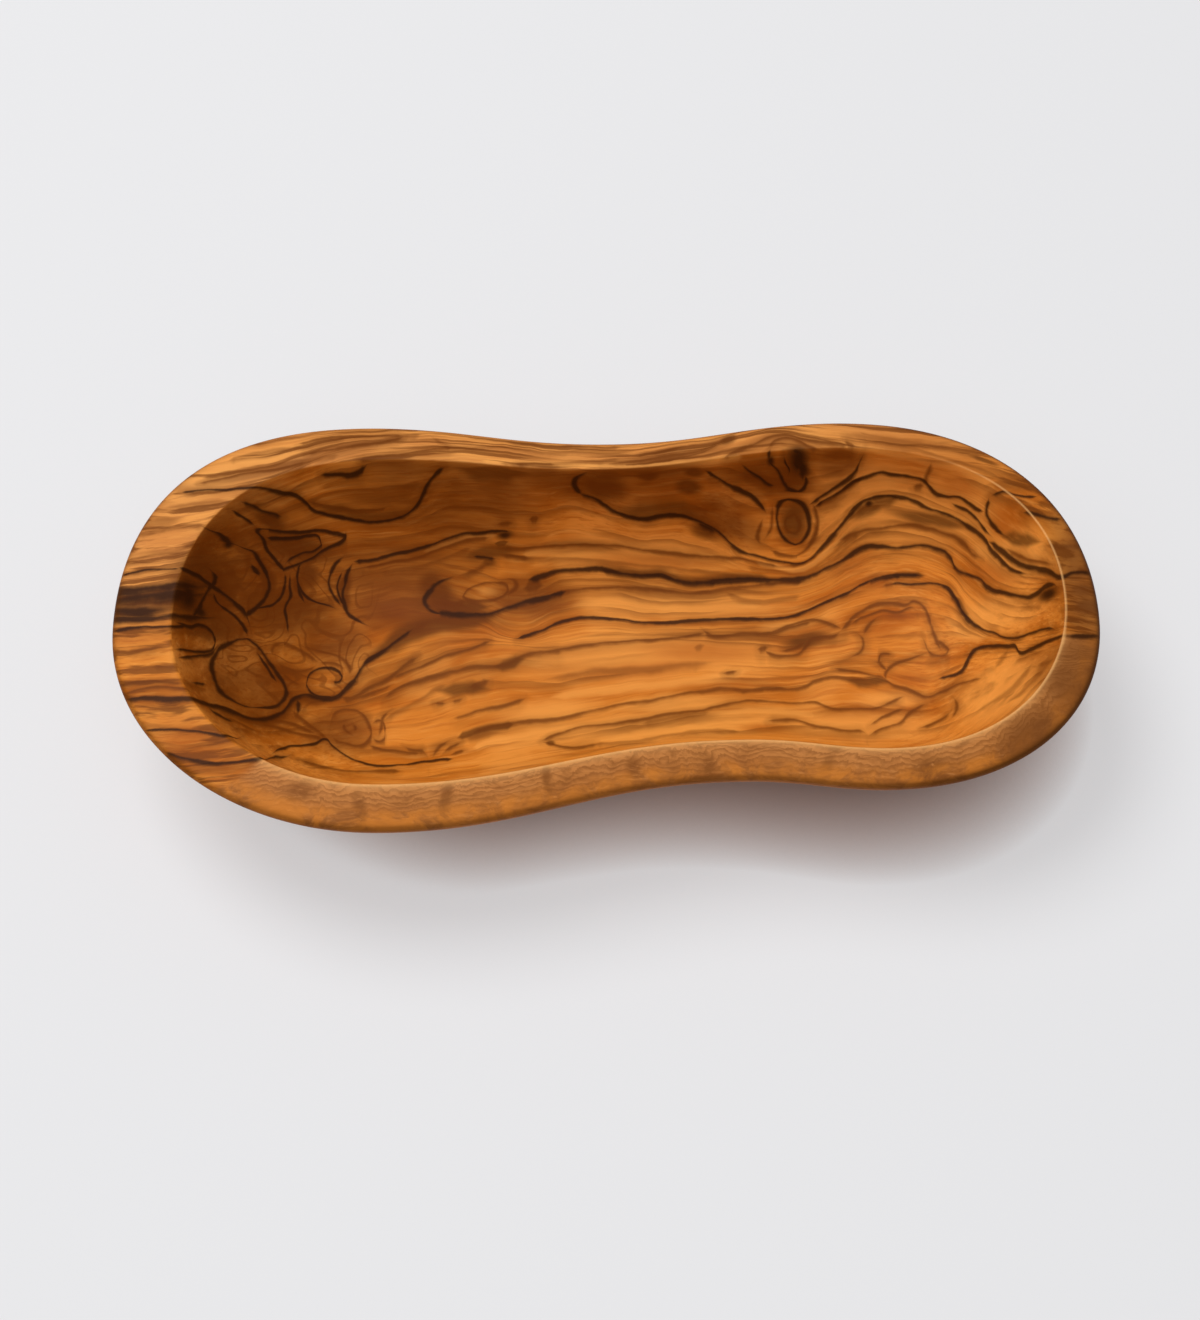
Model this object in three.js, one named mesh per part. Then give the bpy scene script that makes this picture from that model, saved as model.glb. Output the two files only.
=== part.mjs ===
// Waisted bowl carved from one block of olive wood.
// Millimetres, +Z up. The origin lies on the table under the middle of the bowl. X runs along the bowl, from
// the left lobe to the right one, and Y runs across it, from its front to its back.
import * as THREE from "three";

// The block and its hollow.
const LENGTH = 260; // left tip to right tip
const WIDTH = 125; // front of the left lobe to back of the right lobe
const HEIGHT = 45; // table to the edge of the mouth
const FLOOR_THICKNESS = 11; // wood under the deepest part of the hollow
const FLOOR_DISH = 2; // fall of the hollow's floor, from the foot of its walls to its middle

// The hollow's wall follows a quarter round between these angles, in degrees: 0 would be sheer, and 90 level.
const WALL_ARC_START = 30;
const WALL_ARC_END = 85;

// The rim and its edges.
const RIM_FALL = 2; // fall of the rim, from the mouth to the outer edge
const OUTER_EDGE_RADIUS = 2.2;
const MOUTH_EDGE_RADIUS = 0.8;

// How round the outlines are, as the length of a curve's handles over the distance that they span.
const FRONT_LEFT_FULLNESS = 0.545;
const FRONT_RIGHT_FULLNESS = 0.59;
const BACK_RIGHT_FULLNESS = 0.61;
const BACK_LEFT_FULLNESS = 0.65;
const SIDE_FULLNESS = 0.42;

// Where the rim's outer edge turns, left or right of the middle.
const FRONT_LEFT_ALONG = 60;
const FRONT_WAIST_ALONG = 37;
const FRONT_RIGHT_ALONG = 73;
const BACK_RIGHT_ALONG = 65;
const BACK_WAIST_ALONG = 1;
const BACK_LEFT_ALONG = 65;

// Where it turns, in front of the middle or behind it. The width sets the left lobe's front and the right
// lobe's back.
const LEFT_TIP_FORWARD = 2.5;
const FRONT_WAIST_ACROSS = 47.4;
const FRONT_RIGHT_ACROSS = 50;
const BACK_WAIST_ACROSS = 55.5;
const BACK_LEFT_ACROSS = 60.8;

// Width of the rim.
const LEFT_TIP_RIM = 16.7;
const FRONT_LEFT_RIM = 12.6;
const FRONT_RIM = 10.7; // at the waist and the right lobe
const RIGHT_TIP_RIM = 10.1;
const BACK_RIM = 10.8; // at the right lobe and the waist
const BACK_LEFT_RIM = 12.8;

// Run of the hollow's wall, from the mouth to the floor.
const LEFT_TIP_WALL = 42;
const LOBE_WALL = 27;
const WAIST_WALL = 24; // also at the front of the right lobe, which is the narrower one
const RIGHT_TIP_WALL = 38;

// How far the base lies inside the rim's outer edge.
const LEFT_TIP_OVERHANG = 56;
const FRONT_OVERHANG = 39;
const RIGHT_TIP_OVERHANG = 50;
const BACK_OVERHANG = 33;

// How far the mouth turns beside the place where the outer edge does, where that is more than a little.
const RIGHT_TIP_SLIP = 4.8;
const BACK_WAIST_SLIP = 4.6;
const BACK_LEFT_SLIP = 5.2;

// The outer side's profile, from the edge of the base up to the outer edge of the rim. Across is a share of
// the overhang there, and up is a share of the side's height.
const SIDE_PROFILE = new THREE.CubicBezierCurve(
  new THREE.Vector2(1, 0),
  new THREE.Vector2(0.55, 0),
  new THREE.Vector2(0.25, 0.55),
  new THREE.Vector2(0, 1),
);

// The eight places where the outlines run square to X or Y, counter-clockwise from above, and their sizes.
const LEFT_TIP = {
  isTip: true,
  edge: new THREE.Vector2(-LENGTH / 2, -LEFT_TIP_FORWARD),
  rim: LEFT_TIP_RIM,
  wall: LEFT_TIP_WALL,
  overhang: LEFT_TIP_OVERHANG,
};
const FRONT_LEFT = {
  edge: new THREE.Vector2(-FRONT_LEFT_ALONG, -WIDTH / 2),
  fullness: FRONT_LEFT_FULLNESS,
  rim: FRONT_LEFT_RIM,
  wall: LOBE_WALL,
  overhang: FRONT_OVERHANG,
};
const FRONT_WAIST = {
  edge: new THREE.Vector2(FRONT_WAIST_ALONG, -FRONT_WAIST_ACROSS),
  rim: FRONT_RIM,
  wall: WAIST_WALL,
  overhang: FRONT_OVERHANG,
};
const FRONT_RIGHT = {
  edge: new THREE.Vector2(FRONT_RIGHT_ALONG, -FRONT_RIGHT_ACROSS),
  fullness: FRONT_RIGHT_FULLNESS,
  rim: FRONT_RIM,
  wall: WAIST_WALL,
  overhang: FRONT_OVERHANG,
};
const RIGHT_TIP = {
  isTip: true,
  edge: new THREE.Vector2(LENGTH / 2, 0),
  rim: RIGHT_TIP_RIM,
  wall: RIGHT_TIP_WALL,
  overhang: RIGHT_TIP_OVERHANG,
  slip: new THREE.Vector2(0, RIGHT_TIP_SLIP),
};
const BACK_RIGHT = {
  edge: new THREE.Vector2(BACK_RIGHT_ALONG, WIDTH / 2),
  fullness: BACK_RIGHT_FULLNESS,
  rim: BACK_RIM,
  wall: LOBE_WALL,
  overhang: BACK_OVERHANG,
};
const BACK_WAIST = {
  edge: new THREE.Vector2(-BACK_WAIST_ALONG, BACK_WAIST_ACROSS),
  rim: BACK_RIM,
  wall: WAIST_WALL,
  overhang: BACK_OVERHANG,
  slip: new THREE.Vector2(-BACK_WAIST_SLIP, 0),
};
const BACK_LEFT = {
  edge: new THREE.Vector2(-BACK_LEFT_ALONG, BACK_LEFT_ACROSS),
  fullness: BACK_LEFT_FULLNESS,
  rim: BACK_LEFT_RIM,
  wall: LOBE_WALL,
  overhang: BACK_OVERHANG,
  slip: new THREE.Vector2(BACK_LEFT_SLIP, 0),
};
const FRONT_STATIONS = [LEFT_TIP, FRONT_LEFT, FRONT_WAIST, FRONT_RIGHT];
const BACK_STATIONS = [RIGHT_TIP, BACK_RIGHT, BACK_WAIST, BACK_LEFT];
const STATIONS = [...FRONT_STATIONS, ...BACK_STATIONS];

// How finely the faces follow the shape.
const STEPS_PER_SPAN = 12; // between two stations
const SIDE_RINGS = 9;
const EDGE_RINGS = 3;
const RIM_RINGS = 4;
const WALL_RINGS = 10;
const FLOOR_RINGS = 4;
const SPINE_SHARE = 0.6; // the floor and the base draw in to a line this long, over their own length

const RIM_EDGE_HEIGHT = HEIGHT - RIM_FALL;
const WALL_FOOT_HEIGHT = FLOOR_THICKNESS + FLOOR_DISH;

// The direction from a station into the bowl. Tips look along X, and the other stations along Y.
function inward(station) {
  const { isTip, edge } = station;
  return isTip ? new THREE.Vector2(-Math.sign(edge.x), 0) : new THREE.Vector2(0, -Math.sign(edge.y));
}

// The part of a step that runs along the outline at a station.
function alongOutline(station, step) {
  return station.isTip ? new THREE.Vector2(0, step.y) : new THREE.Vector2(step.x, 0);
}

// How full the curve between two stations is: a lobe has its own fullness on the way to its tip.
function spanFullness(from, to) {
  if (from.isTip) return to.fullness;
  return to.isTip ? from.fullness : SIDE_FULLNESS;
}

// A closed outline at a distance inside the outer edge at each station. All outlines have their points in the
// same order.
function outline(insetOf, slips = false) {
  const turns = STATIONS.map((station) => {
    const point = station.edge.clone().addScaledVector(inward(station), insetOf(station));
    return slips && station.slip ? point.add(station.slip) : point;
  });
  const path = new THREE.Path();
  path.moveTo(turns[0].x, turns[0].y);
  STATIONS.forEach((from, i) => {
    const next = (i + 1) % STATIONS.length;
    const to = STATIONS[next];
    const span = turns[next].clone().sub(turns[i]);
    const fullness = spanFullness(from, to);
    const leave = turns[i].clone().addScaledVector(alongOutline(from, span), fullness);
    const reach = turns[next].clone().addScaledVector(alongOutline(to, span), -fullness);
    path.bezierCurveTo(leave.x, leave.y, reach.x, reach.y, turns[next].x, turns[next].y);
  });
  return path.getPoints(STEPS_PER_SPAN).slice(0, STATIONS.length * STEPS_PER_SPAN);
}

const outerEdge = outline(() => 0);
const base = outline((station) => station.overhang);
const mouth = outline((station) => station.rim, true);
const floorEdge = outline((station) => station.rim + station.wall, true);

// The line down the middle of an outline, straight between its tips and shorter than it at each end. It has
// one point for each pair of points that face each other across the outline, and one for each tip.
function spine(edge) {
  const half = edge.length / 2;
  const [left, right] = [edge[0], edge[half]];
  const middle = left.clone().lerp(right, 0.5);
  return edge.slice(0, half + 1).map((p, i) => {
    const level = ((p.x + edge.at(-i).x) / 2 - left.x) / (right.x - left.x);
    const even = i / half;
    // Halfway between points level with their pairs, which crowd at the tips, and evenly spaced ones.
    const between = left.clone().lerp(right, (level + even) / 2);
    return middle.clone().lerp(between, SPINE_SHARE);
  });
}

// For each point of an outline, the point of its spine that it draws in to.
function drawnIn(edge) {
  const line = spine(edge);
  return edge.map((_, i) => line[Math.min(i, edge.length - i)]);
}

// A ring of points in space between two outlines: at share 0 it is the first one and at share 1 the second.
function ring(first, second, share, z) {
  return first.map((p, i) => {
    const q = p.clone().lerp(second[i], share);
    return new THREE.Vector3(q.x, q.y, z);
  });
}

// A ring on the rim, this far in from an outline towards another one.
function offsetRing(from, towards, distance, z) {
  return from.map((p, i) => {
    const q = p.clone().add(towards[i].clone().sub(p).setLength(distance));
    return new THREE.Vector3(q.x, q.y, z);
  });
}

function steps(count, make) {
  return Array.from({ length: count }, (_, i) => make((i + 1) / count));
}

// The outer side, from the base up to where the rounded outer edge begins.
function sideRings() {
  const top = RIM_EDGE_HEIGHT - OUTER_EDGE_RADIUS;
  return SIDE_PROFILE.getPoints(SIDE_RINGS).map((p) => ring(outerEdge, base, p.x, top * p.y));
}

// The rounded outer edge, a quarter round that ends on the rim.
function outerEdgeRings() {
  return steps(EDGE_RINGS, (t) => {
    const angle = (t * Math.PI) / 2;
    const inset = OUTER_EDGE_RADIUS * (1 - Math.cos(angle));
    const z = RIM_EDGE_HEIGHT - OUTER_EDGE_RADIUS * (1 - Math.sin(angle));
    return offsetRing(outerEdge, mouth, inset, z);
  });
}

// The rim, which rises from its outer edge to the mouth. It stops short of the mouth by the edge's radius.
function rimRings() {
  const low = offsetRing(outerEdge, mouth, OUTER_EDGE_RADIUS, RIM_EDGE_HEIGHT);
  const high = offsetRing(mouth, outerEdge, MOUTH_EDGE_RADIUS, HEIGHT);
  return steps(RIM_RINGS, (t) => low.map((p, i) => p.clone().lerp(high[i], t)));
}

// The wall of the hollow, part of a quarter round that starts under the mouth's edge and ends on the floor.
function wallRings() {
  const start = THREE.MathUtils.degToRad(WALL_ARC_START);
  const end = THREE.MathUtils.degToRad(WALL_ARC_END);
  const top = HEIGHT - MOUTH_EDGE_RADIUS;
  return [0, ...steps(WALL_RINGS, (t) => t)].map((t) => {
    const angle = THREE.MathUtils.lerp(start, end, t);
    const run = (Math.cos(start) - Math.cos(angle)) / (Math.cos(start) - Math.cos(end));
    const drop = (Math.sin(angle) - Math.sin(start)) / (Math.sin(end) - Math.sin(start));
    return ring(mouth, floorEdge, run, THREE.MathUtils.lerp(top, WALL_FOOT_HEIGHT, drop));
  });
}

// The dished floor, whose rings draw in towards its spine.
function floorRings() {
  const middle = drawnIn(floorEdge);
  return steps(FLOOR_RINGS, (t) => {
    const share = (t * FLOOR_RINGS) / (FLOOR_RINGS + 1);
    return ring(floorEdge, middle, share, WALL_FOOT_HEIGHT - FLOOR_DISH * share * (2 - share));
  });
}

// A closed skin over a stack of rings, which is drawn shut at each end on the spine of the ring there. Each
// of its cells is split along the shorter diagonal.
function skin(rings, firstSpine, lastSpine) {
  const count = rings[0].length;
  const points = [...firstSpine, ...rings.flat(), ...lastSpine];
  const around = (make) => Array.from({ length: count }, (_, i) => make(i));
  const loops = [
    around((i) => Math.min(i, count - i)),
    ...rings.map((_, level) => around((i) => firstSpine.length + level * count + i)),
    around((i) => points.length - lastSpine.length + Math.min(i, count - i)),
  ];
  const index = [];
  for (let level = 0; level + 1 < loops.length; level += 1) {
    const [near, far] = [loops[level], loops[level + 1]];
    for (let i = 0; i < count; i += 1) {
      const j = (i + 1) % count;
      const [a, b, c, d] = [near[i], near[j], far[j], far[i]];
      const split = points[a].distanceTo(points[c]) < points[b].distanceTo(points[d]);
      index.push(...(split ? [a, b, c, a, c, d] : [a, b, d, b, c, d]));
    }
  }
  const geometry = new THREE.BufferGeometry();
  const positions = points.flatMap((p) => p.toArray());
  geometry.setAttribute("position", new THREE.Float32BufferAttribute(positions, 3));
  geometry.setIndex(index);
  geometry.computeVertexNormals();
  return geometry;
}

// The carved block: one piece of wood, with nothing joined to it.
function bowl() {
  const rings = [...sideRings(), ...outerEdgeRings(), ...rimRings(), ...wallRings(), ...floorRings()];
  const at = (z) => (p) => new THREE.Vector3(p.x, p.y, z);
  const baseSpine = spine(base).map(at(0));
  const floorSpine = spine(floorEdge).map(at(FLOOR_THICKNESS));
  const oliveWood = new THREE.MeshStandardMaterial({ color: 0xb8722c, roughness: 0.5, metalness: 0 });
  const mesh = new THREE.Mesh(skin(rings, baseSpine, floorSpine), oliveWood);
  mesh.name = "bowl";
  return mesh;
}

const part = new THREE.Group();
part.name = "olive_wood_bowl";
part.add(bowl());

export default part;
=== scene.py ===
# Looks of a waisted bowl carved from one block of olive wood. Lengths are metres, in the frame's own axes.
import math
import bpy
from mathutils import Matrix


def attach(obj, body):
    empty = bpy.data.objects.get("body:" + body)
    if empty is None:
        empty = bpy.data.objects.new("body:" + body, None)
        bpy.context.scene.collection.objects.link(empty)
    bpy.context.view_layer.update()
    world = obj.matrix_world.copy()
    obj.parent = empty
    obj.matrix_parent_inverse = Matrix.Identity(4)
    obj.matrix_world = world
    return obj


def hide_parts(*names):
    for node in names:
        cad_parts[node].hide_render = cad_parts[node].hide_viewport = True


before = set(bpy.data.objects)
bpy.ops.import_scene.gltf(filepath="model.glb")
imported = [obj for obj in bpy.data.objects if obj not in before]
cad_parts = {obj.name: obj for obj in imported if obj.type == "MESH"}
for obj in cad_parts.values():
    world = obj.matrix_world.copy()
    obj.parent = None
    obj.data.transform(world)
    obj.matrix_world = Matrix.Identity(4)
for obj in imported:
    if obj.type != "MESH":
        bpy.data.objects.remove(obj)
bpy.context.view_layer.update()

from types import SimpleNamespace

import bmesh
import bpy
from mathutils import Matrix, Vector
from mathutils.bvhtree import BVHTree

MM = 0.001
CM = 0.01
MM_PER_CM = 10

# The view, read from the photograph: its size in pixels, its elevation, the point that it is centred on,
# its distance, and the sensor and the lens in millimetres.
PICTURE = (1200, 1320)
VIEW_ELEVATION = math.radians(60)
VIEW_AIM = Vector((-1.67, -12.7, 43.0)) * MM
VIEW_DISTANCE = 0.95
SENSOR = 36
LENS = 99.4

# The light: an even sky, and round panels that face the bowl, each with its place, width and power.
SKY_COLOUR = (1, 1, 1, 1)
SKY_STRENGTH = 0.32
LIGHT_AIM = Vector((0, 0, 0.03))
PANELS = {
    "window_light": ((-0.71, 0.57, 1.78), 1.2, 25),
    "overhead_light": ((-0.4, -0.5, 1.8), 2.2, 10),
}

# The table: half its width, its gap under the bowl, its colour and its roughness. The last value is how
# much of it the camera sees with the soft shadow below in place of the lamps' own.
FLOOR_REACH = 3
FLOOR_GAP = 0.1 * MM
FLOOR_COLOUR = (0.8, 0.8, 0.815, 1)
FLOOR_ROUGHNESS = 0.9
FLOOR_GLOW = 0.6

# The painted soft shadow: how far it reaches, how much further and deeper it is at the right, how much
# lighter at the left, where along X both changes begin and end, and how fast it darkens in red, green and
# blue.
SHADOW_REACH = 21 * MM
SHADOW_MORE_REACH = 6 * MM
SHADOW_MORE_DEPTH = 0.5
SHADOW_LESS = 0.55
SHADOW_RIGHT = (-0.03, 0.07)
SHADOW_LEFT = (-0.02, -0.1)
SHADOW_FALL = (1.15, 1.4, 1.5)

# The bowl, in millimetres: heights of the mouth's arris, of the rim's outer edge and of the lowest place
# that is marked as rim, how far down the outer side's own grain fades in, and half the length of the line
# that the lobes turn round. The last two are limits for the upward part of the outer side's normals.
ARRIS_HEIGHT = 44.9
RIM_EDGE_HEIGHT = 43
RIM_FOOT_HEIGHT = 36
SIDE_FADE = 7
SPINE = 60
STEEP_NORMAL = 0.7
UNDERSIDE_NORMAL = -0.3

# The shown copy of the solid: how near corners are welded, how far triangles may bend and skew to be
# joined in pairs, the mouth's crease, and how often the faces are divided.
WELD_REACH = 0.01 * MM
JOIN_BEND = math.radians(60)
JOIN_SKEW = math.radians(120)
MOUTH_CREASE = 0.7
SMOOTH_STEPS = 2

# The figure of the wood is drawn on a plane that leans back by this much from the table. It runs along X,
# and its own units are centimetres. The scales are the photograph's pixels to one, along and across.
FIGURE_TILT = math.radians(20)
FIGURE_ACROSS = Vector((0, math.cos(FIGURE_TILT), math.sin(FIGURE_TILT)))
PIXELS_ALONG = 38
PIXELS_ACROSS = 35

# Strokes, in the figure's units: a narrow one tapers over a fixed length, a wide one by a part of its
# width in millimetres, and none by more than a part of its run. Beyond an end, or a cut between two runs,
# a stroke sinks to GONE, and the ground under all strokes is NOTHING. A steep run is thinned no further
# than LEAST_LEAN.
NARROW_TAPER = 0.2
WIDE_STROKE = 2
WIDE_TAPER = 0.25
MOST_TAPER = 0.35
END_FADE = 0.4
CUT_FADE = 0.2
CUT_OVERLAP = 0.01
GONE = -6
LEAST_LEAN = 0.35
NOTHING = -9

# How far veins and lines spread to their back and to their front, as parts of the widths in the tables.
DARK_SPREAD = (0.6, 1.05)
BROWN_SPREAD = (0.7, 1.35)
FAINT_SPREAD = (0.8, 1.8)

# Heights on the rim, in centimetres, between which the sapwood deepens away from the arris (partly a
# painted highlight), the gold flecks start, a painted highlight lies on the arris and a painted shade on
# the outer edge.
SAPWOOD_FALL = (4.52, 4.28)
FLECK_START = (4.4, 4.32)
ARRIS_LIGHT = (4.44, 4.5)
PAINTED_EDGE_SHADE = (4.31, 4.22)

# The oiled surface.
OIL_SPECULAR = 0.07
PORE_STRENGTH = 0.12
PORE_DEPTH = 0.2 * MM


def srgb(red, green, blue):
    def linear(level):
        level /= 255
        return level / 12.92 if level <= 0.04045 else ((level + 0.055) / 1.055) ** 2.4

    return (linear(red), linear(green), linear(blue), 1)


# The colours of oiled olive wood; some also serve for painted highlight and painted shade.
PALE_GOLD = srgb(236, 156, 70)
GOLD = srgb(214, 128, 43)
DEEP_GOLD = srgb(184, 98, 20)
RUST = srgb(164, 78, 10)
# A dark wood colour that also serves as painted shade on the left and back inner walls.
HEARTWOOD_AND_SHADE = srgb(104, 46, 1)
UMBER = srgb(106, 52, 7)
# A smoky brown, also used as painted shade on the left inner wall and along the rim's outer edge.
SMOKE_AND_SHADE = srgb(82, 43, 6)
INK = srgb(50, 22, 3)
SAPWOOD_LIGHT = srgb(198, 130, 70)
SAPWOOD = srgb(158, 94, 40)
SAPWOOD_SHADE = srgb(118, 67, 26)
# A light colour for painted highlights on the arris and on the back and left rim.
PAINTED_HIGHLIGHT = srgb(240, 180, 112)

# Growth lines that the fine streaks follow, from the back rim to the front one. All places in the figure
# are pixels of the photograph, and they are carried along its lines of sight on to the bowl.
GROWTH_LINES = [
    [(90, 430), (250, 430), (420, 425), (600, 440), (740, 425), (800, 415), (900, 420), (1110, 440)],
    [(90, 495), (250, 490), (340, 455), (420, 446), (600, 460), (700, 450), (770, 434), (800, 437),
        (840, 447), (960, 462), (1110, 490)],
    [(90, 560), (190, 552), (260, 540), (345, 520), (400, 518), (450, 500), (540, 500), (575, 492),
        (600, 503), (640, 517), (690, 516), (722, 533), (742, 552), (790, 563), (812, 554), (835, 532),
        (855, 508), (880, 497), (910, 500), (940, 513), (970, 525), (985, 540), (1005, 562), (1030, 573),
        (1060, 574), (1110, 574)],
    [(90, 590), (250, 585), (345, 572), (420, 562), (530, 578), (560, 571), (600, 568), (660, 575),
        (700, 583), (740, 579), (810, 577), (850, 556), (870, 547), (920, 546), (950, 557), (975, 577),
        (1000, 593), (1030, 596), (1050, 588), (1110, 597)],
    [(90, 626), (175, 626), (260, 622), (345, 615), (423, 606), (480, 622), (520, 637), (560, 621),
        (600, 617), (650, 623), (740, 618), (800, 612), (860, 586), (900, 577), (935, 585), (955, 596),
        (970, 620), (1000, 637), (1050, 628), (1110, 632)],
    [(90, 690), (195, 690), (300, 697), (345, 695), (390, 680), (420, 668), (460, 652), (500, 645),
        (540, 650), (580, 648), (660, 641), (740, 645), (800, 650), (860, 645), (930, 640), (975, 640),
        (1020, 645), (1060, 640), (1110, 642)],
    [(90, 755), (200, 761), (270, 758), (340, 752), (380, 745), (420, 745), (460, 737), (500, 726),
        (580, 713), (650, 699), (720, 690), (800, 687), (840, 676), (885, 682), (930, 692), (970, 675),
        (1020, 657), (1060, 647), (1110, 652)],
    [(90, 800), (270, 790), (340, 790), (420, 788), (500, 774), (600, 757), (742, 742), (840, 748),
        (940, 744), (1010, 716), (1045, 680), (1110, 668)],
    [(90, 870), (372, 840), (540, 815), (750, 790), (890, 798), (1040, 760), (1110, 710)],
]

# The front rim is sapwood, in front of this line.
SAPWOOD_LINE = [
    (90, 800), (190, 788), (240, 774), (275, 757), (290, 750), (320, 700), (1040, 640), (1110, 636),
]

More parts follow.
